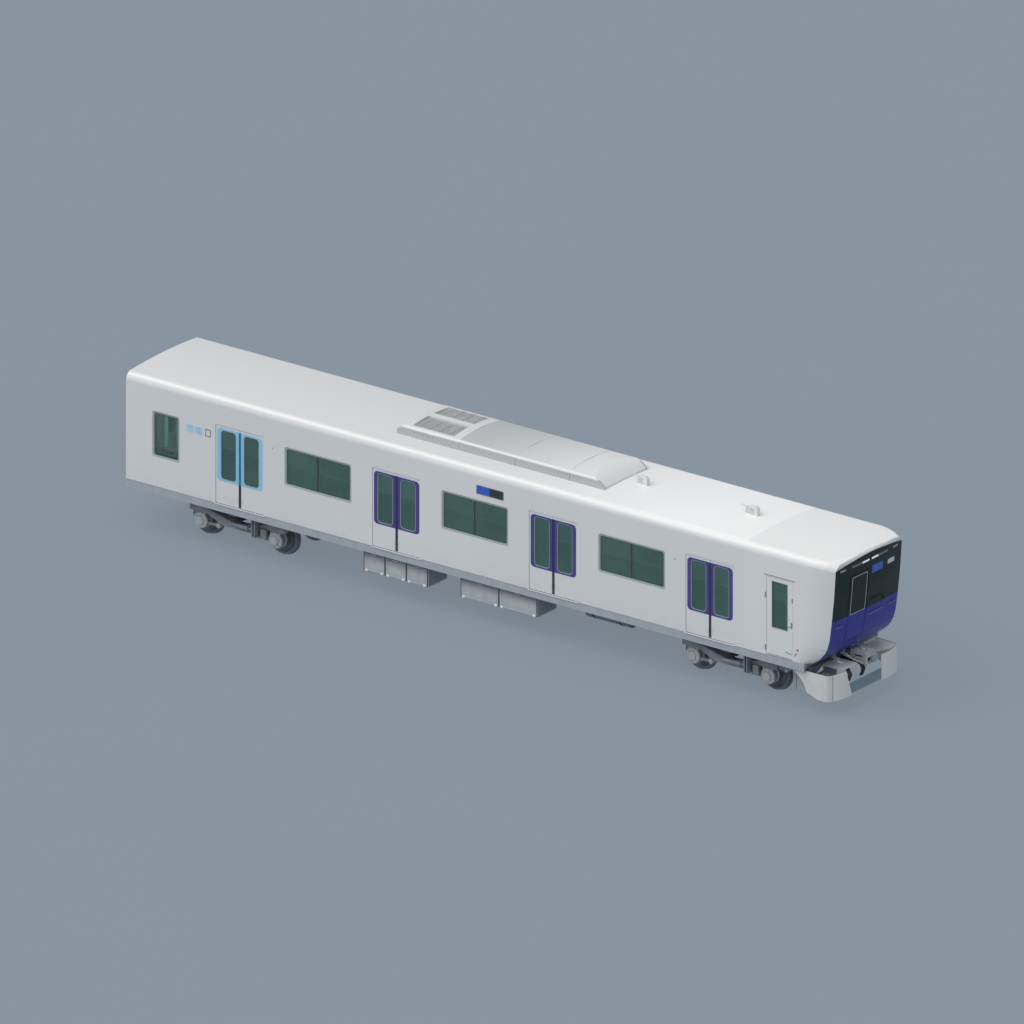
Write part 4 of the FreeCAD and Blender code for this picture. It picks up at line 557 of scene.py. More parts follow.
def bothHalves(half):
    return flipped(reversed(half), -1) + list(half)


def hoop(start, end, inner, outer):
    return [(start, inner), (start, outer), (end, outer), (end, inner)]


def boltCircle(x, y, z, radius, count, first=0.0):
    turns = [first + 2 * math.pi * step / count for step in range(count)]
    return [(x + radius * math.cos(turn), y, z + radius * math.sin(turn)) for turn in turns]


# where a flat drawing lies on the car: seen from a side, from an end, on the moulded front or its lamps
def onSide(side):
    def lie(u, v, out):
        return Vector((u, side * out, v))
    return lie


def onEnd(face=0.0):
    def lie(u, v, out):
        return Vector((face + out, u, v))
    return lie


def onPlan(u, v, out):
    return Vector((u, v, out))


def skinOf(names):
    graph = bpy.context.evaluated_depsgraph_get()
    return [BVHTree.FromObject(nodes[name], graph) for name in names]


frontSkin = skinOf(["front_mask", "windscreen", "front_exit_door"])
lampSkin = skinOf(["front_lamps"])
roofSkin = skinOf(["roof", "cab_shell", "air_conditioner"])
inwards = Vector((-1, 0, 0))


def outermost(skin, start, way):
    hits = [tree.ray_cast(start, way) for tree in skin]
    reached = [hit for hit in hits if hit[0] is not None]
    return min(reached, key=lambda hit: hit[3])[0] if reached else None


# a point that falls in a gap takes the depth found a little beside it
def onFront(u, v, out):
    for shift in (0, 0.02, -0.02, 0.05, -0.05):
        hit = outermost(frontSkin, Vector((12, u + shift, v)), inwards)
        if hit is not None and hit.x > 9:
            return Vector((hit.x + out, u, v))
    return Vector((9.9 + out, u, v))


def onLamps(u, v, out):
    hit = outermost(lampSkin, Vector((12, u, v)), inwards)
    return Vector((hit.x + out, u, v)) if hit is not None else onFront(u, v, out + 0.018)


# gathers solid shapes and makes one piece of them
class Stock:
    def __init__(self):
        self.mesh = bmesh.new()

    def block(self, low, high, edge=0.0, steps=1):
        low, high = Vector(low), Vector(high)
        low, high = Vector(map(min, low, high)), Vector(map(max, low, high))
        points = bmesh.ops.create_cube(self.mesh, size=1.0)["verts"]
        middle, reach = (low + high) / 2, high - low
        for point in points:
            point.co = Vector([a * b for a, b in zip(point.co, reach)]) + middle
        if edge:
            edges = list({line for point in points for line in point.link_edges})
            bmesh.ops.bevel(self.mesh, geom=edges, offset=edge, segments=steps, affect="EDGES", profile=0.5)

    def rings(self, rings, closed=False):
        made = [[self.mesh.verts.new(point) for point in ring] for ring in rings]
        pairs = list(zip(made, made[1:])) + ([(made[-1], made[0])] if closed else [])
        for one, two in pairs:
            for step in range(len(one)):
                after = (step + 1) % len(one)
                self.mesh.faces.new((one[step], one[after], two[after], two[step]))
        if not closed:
            self.mesh.faces.new(made[0])
            self.mesh.faces.new(made[-1])

    def turned(self, profile, centre, axis="Y", sides=32, closed=False):
        along = "XYZ".index(axis)
        across, up = [index for index in range(3) if index != along]
        rings = []
        for place, radius in profile:
            ring = []
            for step in range(sides):
                turn = 2 * math.pi * step / sides
                point = Vector(centre)
                point[along] += place
                point[across] += radius * math.cos(turn)
                point[up] += radius * math.sin(turn)
                ring.append(point)
            rings.append(ring)
        self.rings(rings, closed)

    def pipe(self, route, radius, bend=0.0, sides=10):
        points = softened(route, bend)
        rings = []
        across = None
        for index, point in enumerate(points):
            ahead = points[min(index + 1, len(points) - 1)]
            behind = points[max(index - 1, 0)]
            way = (ahead - behind).normalized()
            if across is None:
                across = way.orthogonal().normalized()
            across = (across - way * across.dot(way)).normalized()
            up = way.cross(across)
            turns = [2 * math.pi * step / sides for step in range(sides)]
            rings.append([point + (across * math.cos(turn) + up * math.sin(turn)) * radius for turn in turns])
        self.rings(rings)

    # a flat outline pushed from back to front
    def slab(self, loop, back, front, lie):
        self.rings([[lie(u, v, back) for u, v in loop], [lie(u, v, front) for u, v in loop]])

    # a border between two outlines of one count of points, its face sloping back to the rim if that is given
    def border(self, outer, inner, back, front, lie, rim=None):
        levels = ((outer, back), (outer, front), (inner, front if rim is None else rim), (inner, back))
        self.rings([[lie(u, v, depth) for u, v in loop] for loop, depth in levels], closed=True)

    # a block on the left side, or its mirror on the right, moved along the car
    def mirrored(self, corners, side, edge, x=0.0):
        low, high = [(x + corner[0], side * corner[1], corner[2]) for corner in corners]
        self.block(low, high, edge)

    # copies of a pad, each at its own place
    def copies(self, pad, places):
        for place in places:
            points = [self.mesh.verts.new(point + Vector(place)) for point in pad[0]]
            for face in pad[1]:
                self.mesh.faces.new([points[index] for index in face])

    # hexagon-headed bolts with their washers
    def bolts(self, spots, axis, way, size=0.012):
        washer = [(0, size * 1.25), (way * size * 0.3, size * 1.25)]
        head = [(way * size * 0.3, size), (way * size * 1.1, size), (way * size * 1.3, size * 0.75)]
        for spot in spots:
            self.turned(washer, spot, axis, 12)
            self.turned(head, spot, axis, 6)

    def piece(self, name, finish, slot, body="car_body", edge=0.0, smooth=35):
        bmesh.ops.recalc_face_normals(self.mesh, faces=self.mesh.faces)
        data = bpy.data.meshes.new(name)
        self.mesh.to_mesh(data)
        self.mesh.free()
        data.materials.append(finishes[finish])
        data.polygons.foreach_set("use_smooth", [True] * len(data.polygons))
        made = addObject(name, data)
        if edge:
            soft = made.modifiers.new("softEdge", "BEVEL")
            soft.width = edge
            soft.segments = 2
            soft.limit_method = "ANGLE"
            soft.angle_limit = math.radians(40)
        data.set_sharp_from_angle(angle=math.radians(smooth))
        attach(made, body)
        return made


def stocks(count):
    return [Stock() for step in range(count)]


sides = {"right": -1, "left": 1}

# saloon doors, drawn from each doorway's middle: coloured bands, window rims, nosing rubbers, grips
doorLook = {
    "firstX": -6.635, "pitch": 4.391, "count": 4, "face": 1.384, "sunk": 0.001,
    "band": (0.034, 0.636, 1.76, 3.03), "bandRound": (0.004, 0.10, 0.10, 0.004), "bandOut": 0.0022,
    "window": (0.105, 0.535, 1.80, 2.99), "windowRound": 0.09, "rim": 0.016, "rimRound": 0.076,
    "rimOut": 0.0035, "rimSunk": 0.006, "nosing": (0.003, 0.034, 1.225, 1.76),
    "middle": (0.003, 0.034, 1.76, 3.03), "nosingOut": 0.003, "grip": (0.046, 0.084, 1.32, 1.46),
    "gripWide": 0.006, "gripRound": 0.018, "gripOut": 0.0025,
}


def doorCentre(index):
    return doorLook["firstX"] + doorLook["pitch"] * index


def fitSaloonDoors(look):
    face, back = look["face"], look["face"] - look["sunk"]
    band = boxLoop(look["band"], 0, look["bandRound"])
    hole = boxLoop(look["window"], 0, look["windowRound"])
    inset = boxLoop(look["window"], -look["rim"], look["rimRound"])
    nosing, middle = [boxLoop(look[part], 0, 0.002, 1) for part in ("nosing", "middle")]
    grip = boxLoop(look["grip"], 0, look["gripRound"], 4)
    pocket = boxLoop(look["grip"], -look["gripWide"], look["gripRound"] - look["gripWide"], 4)
    drawn = (band, hole, inset, nosing, middle, grip, pocket)
    for sideName, side in sides.items():
        lie = onSide(side)
        for leafName, way in (("front", 1), ("rear", -1)):
            body = "%s_doors_%s" % (sideName, leafName)
            colours = ("Purple", "Sky")
            bands, middles = dict(zip(colours, stocks(2))), dict(zip(colours, stocks(2)))
            rims, nosings, grips = stocks(3)
            for index in range(look["count"]):
                colour = "Purple" if index else "Sky"
                loops = [moved(loop, doorCentre(index), way) for loop in drawn]
                outline, opening, inner, soft, centre, pull, hollow = loops
                bands[colour].border(outline, opening, back, face + look["bandOut"], lie)
                rims.border(opening, inner, face - look["rimSunk"], face + look["rimOut"], lie, back)
                nosings.slab(soft, back, face + look["nosingOut"], lie)
                middles[colour].slab(centre, back, face + look["nosingOut"], lie)
                grips.border(pull, hollow, back, face + look["gripOut"], lie)
            for colour in colours:
                bands[colour].piece("%s_band_%s" % (body, colour), "band" + colour, "door_band", body)
                worn = colour.lower() + "Nosing"
                middles[colour].piece("%s_middle_%s" % (body, colour), worn, "rubber", body)
            rims.piece(body + "_window_rims", "rimTeal", "window_frame", body)
            nosings.piece(body + "_nosing", "rubber", "rubber", body)
            grips.piece(body + "_grips", "paleTrim", "door_paint", body)


fitSaloonDoors(doorLook)

# each doorway has a body-coloured threshold below it and a thin rain strip above it
doorwayLook = {
    "wall": 1.398, "sill": (-0.702, 0.702, 1.1765, 1.2005), "sillOut": 1.4095,
    "strip": (-0.70, 0.70, 3.140, 3.147), "stripOut": 1.4025, "round": 0.003,
}


def fitDoorways(look):
    sills, strips = stocks(2)
    for side in sides.values():
        for index in range(doorLook["count"]):
            for stock, part in ((sills, "sill"), (strips, "strip")):
                loop = moved(boxLoop(look[part], 0, look["round"], 2), doorCentre(index))
                stock.slab(loop, look["wall"], look[part + "Out"], onSide(side))
    sills.piece("door_thresholds", "body_white", "window_frame")
    strips.piece("door_rain_strips", "body_white", "body_white")


fitDoorways(doorwayLook)
print("saloon doors fitted")


# side windows: frame edges, gaskets round each pane, a dark bar and a green stile on the middle post
windowLook = {
    "firstX": -4.437, "pitch": 4.395, "count": 3, "half": 0.935, "low": 2.08, "high": 3.01, "round": 0.062,
    "rearX": -8.698, "rearHalf": 0.381, "rearLow": 1.91, "rim": 0.052, "gasket": 0.008,
    "edgeDepths": (1.380, 1.3985), "rimDepth": 1.386, "gasketDepths": (1.381, 1.388),
    "post": (-0.020, 0.014), "postDepths": (1.384, 1.3925), "stile": (-0.060, -0.021),
    "stileDepths": (1.383, 1.387),
}


def fitSideWindows(look):
    gaskets, posts, edges, stiles = stocks(4)
    rim, corner = look["rim"], look["round"]
    bays = [(look["rearX"], look["rearHalf"], look["rearLow"])]
    for index in range(look["count"]):
        bays.append((look["firstX"] + look["pitch"] * index, look["half"], look["low"]))
    for side in sides.values():
        lie = onSide(side)
        for middle, half, low in bays:
            box = (middle - half, middle + half, low, look["high"])
            outer, inner = boxLoop(box, -0.001, corner), boxLoop(box, -rim, corner - 0.02)
            edges.border(outer, inner, *look["edgeDepths"], lie, look["rimDepth"])
            outer = boxLoop(box, 0.001 - rim, corner - 0.02)
            inner = boxLoop(box, -rim - look["gasket"], corner - 0.026)
            gaskets.border(outer, inner, *look["gasketDepths"], lie)
            if middle == look["rearX"]:
                continue
            for stock, part in ((posts, "post"), (stiles, "stile")):
                bar = [middle + place for place in look[part]] + [low + rim, look["high"] - rim]
                stock.slab(roundedLoop(*bar, 0.003, 1), *look[part + "Depths"], lie)
    gaskets.piece("window_gaskets", "rubber", "rubber")
    posts.piece("window_posts", "rubber", "rubber")
    stiles.piece("window_stiles", "stileTeal", "window_frame")
    edges.piece("window_edges", "frameGreen", "window_frame", edge=0.002)


fitSideWindows(windowLook)

# cab doors: window rim, lock and handles in front, hinges behind, an air cock's mark and lever ahead
cabDoorLook = {
    "window": (8.286, 8.709, 1.90, 3.00), "rimGrow": 0.012, "rimShrink": 0.006,
    "rimDepths": (1.384, 1.3985), "back": 1.394, "out": 1.3985, "lock": (8.808, 8.849, 1.98, 2.12),
    "latch": (8.833, 8.859, 2.60, 2.70), "latchOut": 1.4020, "kick": (8.163, 8.833, 1.232, 1.244),
    "handle": ((8.831, 2.005, 1.396), (8.831, 2.005, 1.4025), (8.723, 2.005, 1.4025)),
    "footGrip": ((8.663, 1.385, 1.392), (8.663, 1.385, 1.4015), (8.828, 1.355, 1.4015),
                 (8.828, 1.355, 1.392)),
    "hinge": (8.087, 8.121), "hingeX": 8.099, "hingeLevels": (1.37, 2.64), "hingeHalf": 0.065,
    "hingeDepths": (1.398, 1.4045), "pins": (-0.04, 0.04), "pinDepth": 1.4040,
    "pin": ((0, 0.007), (0.003, 0.006)),
    "mark": (9.0, 1.50, 1.399), "markShape": ((0, 0.030), (0.005, 0.028), (0.007, 0.012)),
    "cock": (8.955, 1.40, 1.399), "cockShape": ((0, 0.016), (0.006, 0.014)),
    "lever": ((8.955, 1.40, 1.4035), (8.93, 1.37, 1.4035), (8.925, 1.33, 1.4035)),
}


def fitCabDoors(look):
    for sideName, side in sides.items():
        body = "cab_door_" + sideName
        lie = onSide(side)
        rim, metal, fixed, button, lever = stocks(5)
        outer = boxLoop(look["window"], look["rimGrow"], 0.012, 3)
        inner = boxLoop(look["window"], -look["rimShrink"], 0.008, 3)
        rim.border(outer, inner, *look["rimDepths"], lie)
        rim.piece(body + "_window_rim", "seamGrey", "rubber", body)
        metal.slab(boxLoop(look["lock"], 0, 0.012, 3), look["back"], look["out"], lie)
        metal.pipe([lie(*point) for point in look["handle"]], 0.007, 0.004, 8)
        metal.slab(boxLoop(look["latch"], 0, 0.004, 2), look["back"], look["latchOut"], lie)
        metal.pipe([lie(*point) for point in look["footGrip"]], 0.007, 0.012, 8)
        metal.slab(boxLoop(look["kick"], 0, 0.003, 1), look["back"], look["out"], lie)
        metal.piece(body + "_handles", "seamGrey", "window_frame", body)
        for level in look["hingeLevels"]:
            leaf = (*look["hinge"], level - look["hingeHalf"], level + look["hingeHalf"])
            fixed.slab(boxLoop(leaf, 0, 0.004, 2), *look["hingeDepths"], lie)
            for shift in look["pins"]:
                spot = lie(look["hingeX"], level + shift, look["pinDepth"])
                fixed.turned(flipped(look["pin"], side), spot, "Y", 10)
        fixed.piece("cab_door_hinges_" + sideName, "seamGrey", "window_frame")
        button.turned(flipped(look["markShape"], side), lie(*look["mark"]), "Y", 20)
        button.piece("cock_mark_" + sideName, "markRed", "body_white")
        lever.turned(flipped(look["cockShape"], side), lie(*look["cock"]), "Y", 14)
        lever.pipe([lie(*point) for point in look["lever"]], 0.006, 0.01, 8)
        lever.piece("cock_lever_" + sideName, "seamDark", "body_white")


fitCabDoors(cabDoorLook)

# signs and small plates on the sides, all left plain
signLook = {
    "wall": 1.398, "sign": (0.016, 0.750, 3.168, 3.356), "middle": 0.372, "gap": 0.002, "rim": 0.014,
    "rimOut": 0.009, "signOut": 0.007, "plates": (-8.110, -7.875), "plateWide": 0.190,
    "plateZ": (2.735, 2.915), "plateOut": 0.0045, "frame": (-7.600, -7.440), "frameWide": 0.022,
    "indicators": (-5.713, 5.570), "indicatorZ": 2.89,
    "indicator": ((0, 0.022), (0.007, 0.020), (0.010, 0.010)),
}


def fitSideSigns(look):
    rims, blues, darks, skies, greys, marks = stocks(6)
    left, right, low, high = look["sign"]
    wall, signFace, plateFace = look["wall"], look["wall"] + look["signOut"], look["wall"] + look["plateOut"]
    for side in sides.values():
        lie = onSide(side)
        outer, inner = boxLoop(look["sign"], look["rim"], 0.024, 4), boxLoop(look["sign"], 0, 0.012, 4)
        rims.border(outer, inner, wall, wall + look["rimOut"], lie)
        blues.slab(roundedLoop(left, look["middle"], low, high, 0.004, 1), wall, signFace, lie)
        darks.slab(roundedLoop(look["middle"] + look["gap"], right, low, high, 0.004, 1), wall, signFace, lie)
        for start in look["plates"]:
            plate = roundedLoop(start, start + look["plateWide"], *look["plateZ"], 0.02, 3)
            skies.slab(plate, wall, plateFace, lie)
        box = (*look["frame"], *look["plateZ"])
        outer, inner = boxLoop(box, 0, 0.02, 3), boxLoop(box, -look["frameWide"], 0.01, 3)
        greys.border(outer, inner, wall, plateFace, lie)
        for x in look["indicators"]:
            marks.turned(flipped(look["indicator"], side), lie(x, look["indicatorZ"], wall), "Y", 18)
    rims.piece("sign_rims", "seamGrey", "window_frame")
    blues.piece("sign_blue_halves", "signBlue", "lamp_lens")
    darks.piece("sign_dark_halves", "signDark", "lamp_lens")
    skies.piece("plain_side_plates", "plateSky", "body_white")
    greys.piece("plain_side_frames", "seamGrey", "body_white")
    marks.piece("door_indicators", "markRose", "lamp_lens")


fitSideSigns(signLook)
print("sides trimmed")


# cab front: exit door window, grab rails, joint strips, blank signs, lamp covers, wiper
frontLook = {
    "doorWindow": (-0.63, -0.08, 2.30, 3.23), "frameWide": 0.018,
    "rails": ((-1.10, -0.86), (0.05, 0.60), (0.86, 1.12)), "railZ": 2.12, "railOut": 0.02, "railIn": -0.01,
    "joints": ((-0.734, -0.710), (-0.012, 0.012)), "jointZ": (2.32, 3.52),
    "seam": (-0.186, -0.178, 1.30, 1.62), "lampZ": (3.479, 3.523),
    "signs": {
        "front_blue_sign": ("signBlue", (0.09, 0.49, 3.12, 3.31)),
        "front_pale_sign": ("signPale", (0.69, 0.95, 3.15, 3.26)),
    },
    "lamps": {"lamp_covers_white": ("lampWhite", ((-0.295, -0.045), (0.045, 0.295))),
              "lamp_covers_outer": ("lampDim", ((-1.075, -0.885), (0.885, 1.075)))},
    "wiperArm": ((0.62, 2.36, 0.012), (0.60, 2.45, 0.03), (0.30, 2.50, 0.026), (0.10, 2.52, 0.022)),
    "wiperBlade": (0.10, 0.62), "bladeZ": (2.44, 0.03), "bladeOut": 0.012, "wiperPivot": (0.62, 2.345, 0),
    "pivot": ((-0.004, 0.026), (0.018, 0.024), (0.026, 0.012)),
}


def fitCabFront(look):
    frames, rails, joints, wiper = stocks(4)
    outer = denseLoop(look["doorWindow"], 0, 0.03, 12)
    inner = denseLoop(look["doorWindow"], -look["frameWide"], 0.02, 12)
    frames.border(outer, inner, -0.002, 0.005, onFront)
    frames.piece("exit_door_window_frame", "seamPale", "window_frame", "front_exit_door")
    for start, end in look["rails"]:
        route = [(start, look["railIn"])] + [(place, look["railOut"]) for place in spread(start, end, 6)]
        route.append((end, look["railIn"]))
        rails.pipe([onFront(place, look["railZ"], out) for place, out in route], 0.011, 0.012, 8)
    rails.piece("front_grab_rails", "railBlue", "pole_steel")
    for left, right in look["joints"]:
        joints.slab(stripLoop(left, right, *look["jointZ"], 9), -0.002, 0.003, onFront)
    joints.slab(stripLoop(*look["seam"], 6), -0.002, 0.001, onFront)
    joints.piece("front_joint_strips", "rubber", "rubber")
    for name, (finish, box) in look["signs"].items():
        sign = Stock()
        sign.slab(denseLoop(box, 0, 0.02, 4), -0.003, 0.0015, onFront)
        sign.piece(name, finish, "lamp_lens")
    for name, (finish, spans) in look["lamps"].items():
        lamp = Stock()
        for start, end in spans:
            lamp.slab(denseLoop((start, end, *look["lampZ"]), 0, 0.012, 4), 0.0, 0.002, onLamps)
        lamp.piece(name, finish, "lamp_lens")
    wiper.pipe([onFront(*point) for point in look["wiperArm"]], 0.007, 0.05, 8)
    low, rise = look["bladeZ"]
    blade = [onFront(u, low + rise * (1 - u), look["bladeOut"]) for u in spread(*look["wiperBlade"], 8)]
    wiper.pipe(blade, 0.006, 0.0, 6)
    wiper.turned(look["pivot"], onFront(*look["wiperPivot"]), "X", 16)
    wiper.piece("front_wiper", "rubber", "rubber")


fitCabFront(frontLook)
print("cab front fitted")


# coupler head's fittings with dark sheets in its slots and mouth as painted shade, the air cocks, the hoses'
# bent hangers, the skirt's dark plate, partly a darker part and partly painted shade, and its seam
couplerLook = {
    "face": 10.03, "half": 0.165, "high": 1.285, "slot": (9.68, 9.89, 1.150, 1.192),
    "flange": (-0.198, 0.198, 0.992, 1.198), "opening": (-0.172, 0.172, 1.012, 1.180),
    "flangeDepths": (-0.004, 0.008), "wedge": (-0.008, 0.118, 1.072, 1.188), "wedgeWide": 0.016,
    "wedgeDepths": (0.030, 0.0395), "hollow": ((9.955, -0.149, 1.071), (9.962, -0.041, 1.169)),
    "boss": ((0, 0.055), (0.012, 0.055), (0.018, 0.035)), "bossX": 9.80,
    "bolts": ((9.64, -0.10), (9.64, 0.10), (9.72, -0.10)),
    "hose": ((9.45, -0.25, 1.13), (9.62, -0.25, 1.11), (9.80, -0.225, 1.06), (9.96, -0.21, 1.05)),
    "branch": ((9.62, -0.25, 1.11), (9.62, -0.16, 1.11)),
    "cap": ((0, 0.040), (0.016, 0.038), (0.022, 0.020)), "capSpot": (9.900, 0.060, 1.279),
    "cocks": ((9.29, -0.40, 1.045), (9.36, -0.16, 1.10), (9.32, 0.42, 1.06), (9.30, 0.70, 1.01)),
    "cockBody": ((-0.09, 0.034), (-0.03, 0.040), (0.03, 0.040), (0.05, 0.030), (0.12, 0.030), (0.13, 0.02)),
    "cockStem": ((0, 0.018), (0.060, 0.018), (0.070, 0.012)), "bodyRise": 0.035, "stemRise": 0.06,
    "cockLever": ((-0.03, -0.012, 0.126), (0.07, 0.012, 0.136)),
    "hangers": (-0.645, -0.150), "hangerX": 9.79, "hangerGap": 0.07,
    "hangerBend": ((0, 0, 1.025), (0.02, 0, 0.99), (0.10, 0, 0.87), (0.03, 0, 0.70)),
    "hangerBlocks": (((-0.03, -0.03, 0.998), (0.03, 0.10, 1.024)),
                     ((0.045, -0.005, 0.835), (0.075, 0.075, 0.865))),
    "hangerRail": ((9.20, -0.23, 0.985), (9.81, 0.0, 1.005)),
    "plate": ((-0.611, 0.4285), (0.518, 0.4285), (0.518, 0.6815), (-0.695, 0.6815)),
    "plateX": (9.8915, 9.9105),
    "seam": ((9.824, -1.206), (9.834, -1.196), (9.8385, -1.1965), (9.828, -1.2085)),
    "seamZ": (0.395, 1.005),
}


def fitCoupler(look):
    head, dark, cap, cocks, hangers, plate, seam = stocks(7)
    face, half, high = look["face"], look["half"], look["high"]
    flange, opening = boxLoop(look["flange"], 0, 0.035, 3), boxLoop(look["opening"], 0, 0.02, 3)
    head.border(flange, opening, *look["flangeDepths"], onEnd(face))
    head.turned(look["boss"], (look["bossX"], 0.0, high), "Z", 20)
    head.bolts([(x, y, high) for x, y in look["bolts"]], "Z", 1, 0.013)
    head.pipe(look["hose"], 0.014, 0.06)
    head.pipe(look["branch"], 0.011)
    wedge, hollow = boxLoop(look["wedge"], 0, 0.008, 1), boxLoop(look["wedge"], -look["wedgeWide"], 0.004, 1)
    head.border(wedge, hollow, *look["wedgeDepths"], onEnd(face))
    head.piece("coupler_fittings", "paleTrim", "coupler_steel", edge=0.002)
    left, right, low, top = look["slot"]
    # dark sheets in the coupler's side slots and deep in its mouth: painted shade
    for side in (-1, 1):
        dark.mirrored(((left, half - 0.001, low), (right, half + 0.002, top)), side, 0.001)
    dark.block(*look["hollow"])
    dark.piece("coupler_dark_hollows", "rubber", "coupler_steel")
    cap.turned(look["cap"], look["capSpot"], "Z", 18)
    cap.piece("coupler_cap", "markYellow", "coupler_steel")
    for x, y, z in look["cocks"]:
        cocks.turned(look["cockBody"], (x, y, z + look["bodyRise"]), "X", 18)
        cocks.turned(look["cockStem"], (x, y, z + look["stemRise"]), "Z", 12)
        cocks.block(*beside((x, y, z), look["cockLever"]), 0.003)
    cocks.piece("air_cocks", "paleTrim", "coupler_steel")
    for y in look["hangers"]:
        for shift in (0, look["hangerGap"]):
            hangers.pipe(beside((look["hangerX"], y + shift, 0), look["hangerBend"]), 0.024, 0.008, 6)
        for corners in look["hangerBlocks"]:
            hangers.block(*beside((look["hangerX"], y, 0), corners), 0.004)
    hangers.block(*look["hangerRail"], 0.004)
    hangers.piece("hose_hangers", "rubber", "rubber")
    # a darker plate over the skirt's middle: partly a darker part, partly painted shade on the back of the
    # curved band
    plate.slab(look["plate"], *look["plateX"], onEnd())
    plate.piece("skirt_dark_plate", "plateDark", "skirt_grey", edge=0.001)
    seam.slab(look["seam"], *look["seamZ"], onPlan)
    seam.piece("skirt_seam", "seamGrey", "rubber")


fitCoupler(couplerLook)

# equipment boxes (rear, front, doors): doors with seams, handles and latches, and piped ends
boxLook = {
    "low": 0.50, "face": 1.30, "near": ((-3.223, -1.432, 3), (-0.507, 1.634, 2)),
    "far": ((-3.40, -1.20, 3), (-0.30, 1.90, 3), (2.60, 3.90, 2)), "gap": 0.014, "sunk": 0.002,
    "doorZ": (0.535, 0.99), "doorOut": 0.010, "panelZ": (0.53, 0.99), "panelIn": 0.07, "ribWide": 0.012,
    "ribDepths": (0.009, 0.013), "seamWide": 0.022, "seamZ": (0.526, 1.014), "seamOut": 0.0105,
    "headZ": (0.99, 1.002), "headOut": 0.003, "latchStarts": (0.045, -0.125),
    "latch": ((0, 0.020, 0), (0.08, 0.062, 0.024)),
    "latchHook": ((0.04, 0.055, 0.016), (0.04, 0.028, 0.034), (0.04, 0.006, 0.034)),
    "handle": ((-0.06, 0.95, 0.008), (-0.06, 0.95, 0.03), (0.06, 0.95, 0.03), (0.06, 0.95, 0.008)),
    "end": ((-0.002, 0.53, 0.60), (0.003, 1.01, 1.27)), "endPipes": (0.70, 0.95, 1.20),
    "endPipe": ((0.004, 0.55, 0), (0.004, 0.99, 0)),
}


def fitBoxDoor(doors, seams, latches, start, end, lie, look):
    face, back = look["face"], look["face"] - look["sunk"]
    left, right = start + look["gap"], end - look["gap"]
    doors.slab(roundedLoop(left, right, *look["doorZ"], 0.016, 3), back, face + look["doorOut"], lie)
    panel = (start, end, *look["panelZ"])
    outer = boxLoop(panel, -look["panelIn"], 0.02, 3)
    inner = boxLoop(panel, -look["panelIn"] - look["ribWide"], 0.014, 3)
    doors.border(outer, inner, *[face + depth for depth in look["ribDepths"]], lie)
    for place in (start, end - look["seamWide"]):
        upright = roundedLoop(place, place + look["seamWide"], *look["seamZ"], 0.002, 1)
        seams.slab(upright, back, face + look["seamOut"], lie)
    seams.slab(roundedLoop(left, right, *look["headZ"], 0.002, 1), back, face + look["headOut"], lie)
    for place in (start + look["latchStarts"][0], end + look["latchStarts"][1]):
        spot = (place, look["low"], face)
        latches.block(*[lie(*point) for point in beside(spot, look["latch"])], 0.005)
        latches.pipe([lie(*point) for point in beside(spot, look["latchHook"])], 0.008, 0.01, 8)
    handle = beside(((start + end) / 2, 0, face), look["handle"])
    latches.pipe([lie(*point) for point in handle], 0.006, 0.01, 8)


def fitEquipmentBoxes(look):
    doors, seams, latches, ends = stocks(4)
    for side, boxes in ((-1, look["near"]), (1, look["far"])):
        lie = onSide(side)
        for left, right, count in boxes:
            places = spread(left, right, count + 1)
            for start, end in zip(places, places[1:]):
                fitBoxDoor(doors, seams, latches, start, end, lie, look)
            ends.block(*[lie(*point) for point in beside((right, 0, 0), look["end"])], 0.001)
            for place in look["endPipes"]:
                route = beside((right, 0, place), look["endPipe"])
                ends.pipe([lie(*point) for point in route], 0.007, 0.0, 6)
    doors.piece("equipment_doors", "boxGrey", "skirt_grey")
    ends.piece("equipment_ends", "endGrey", "skirt_grey")
    seams.piece("equipment_seams", "seamDark", "rubber")
    latches.piece("equipment_latches", "brightSill", "window_frame")


fitEquipmentBoxes(boxLook)

# air tank: straps with their bolts, an outlet pipe with its nut, and a drain
tankLook = {
    "rear": 2.67, "front": 3.97, "y": -0.75, "z": 0.84, "radius": 0.20, "straps": (0.25, 1.00),
    "strapHalf": 0.022, "strapDepths": (-0.002, 0.006), "boltY": -0.02, "drain": 0.65,
    "drainZ": (0.01, -0.03), "outlet": ((-0.02, 0, 0), (0.10, 0, 0), (0.10, 0, 0.17)),
    "nut": ((0.035, 0.024), (0.065, 0.024)),
}


def fitAirTank(look):
    straps, pipes = stocks(2)
    front, y, z, radius = look["front"], look["y"], look["z"], look["radius"]
    inner, outer = [radius + depth for depth in look["strapDepths"]]
    band = hoop(-look["strapHalf"], look["strapHalf"], inner, outer)
    for shift in look["straps"]:
        x = look["rear"] + shift
        straps.turned(band, (x, y, z), "X", 40, closed=True)
        straps.bolts([(x, y + look["boltY"], z - outer)], "Z", -1, 0.012)
    straps.piece("tank_straps", "rubber", "rubber")
    pipes.pipe(beside((front, y, z), look["outlet"]), 0.014, 0.05)
    pipes.turned(look["nut"], (front, y, z), "X", 6)
    drain = look["rear"] + look["drain"]
    pipes.pipe([(drain, y, z - radius + rise) for rise in look["drainZ"]], 0.011)
    pipes.piece("tank_pipes", "coupler_steel", "coupler_steel")


fitAirTank(tankLook)
print("underfloor fitted")


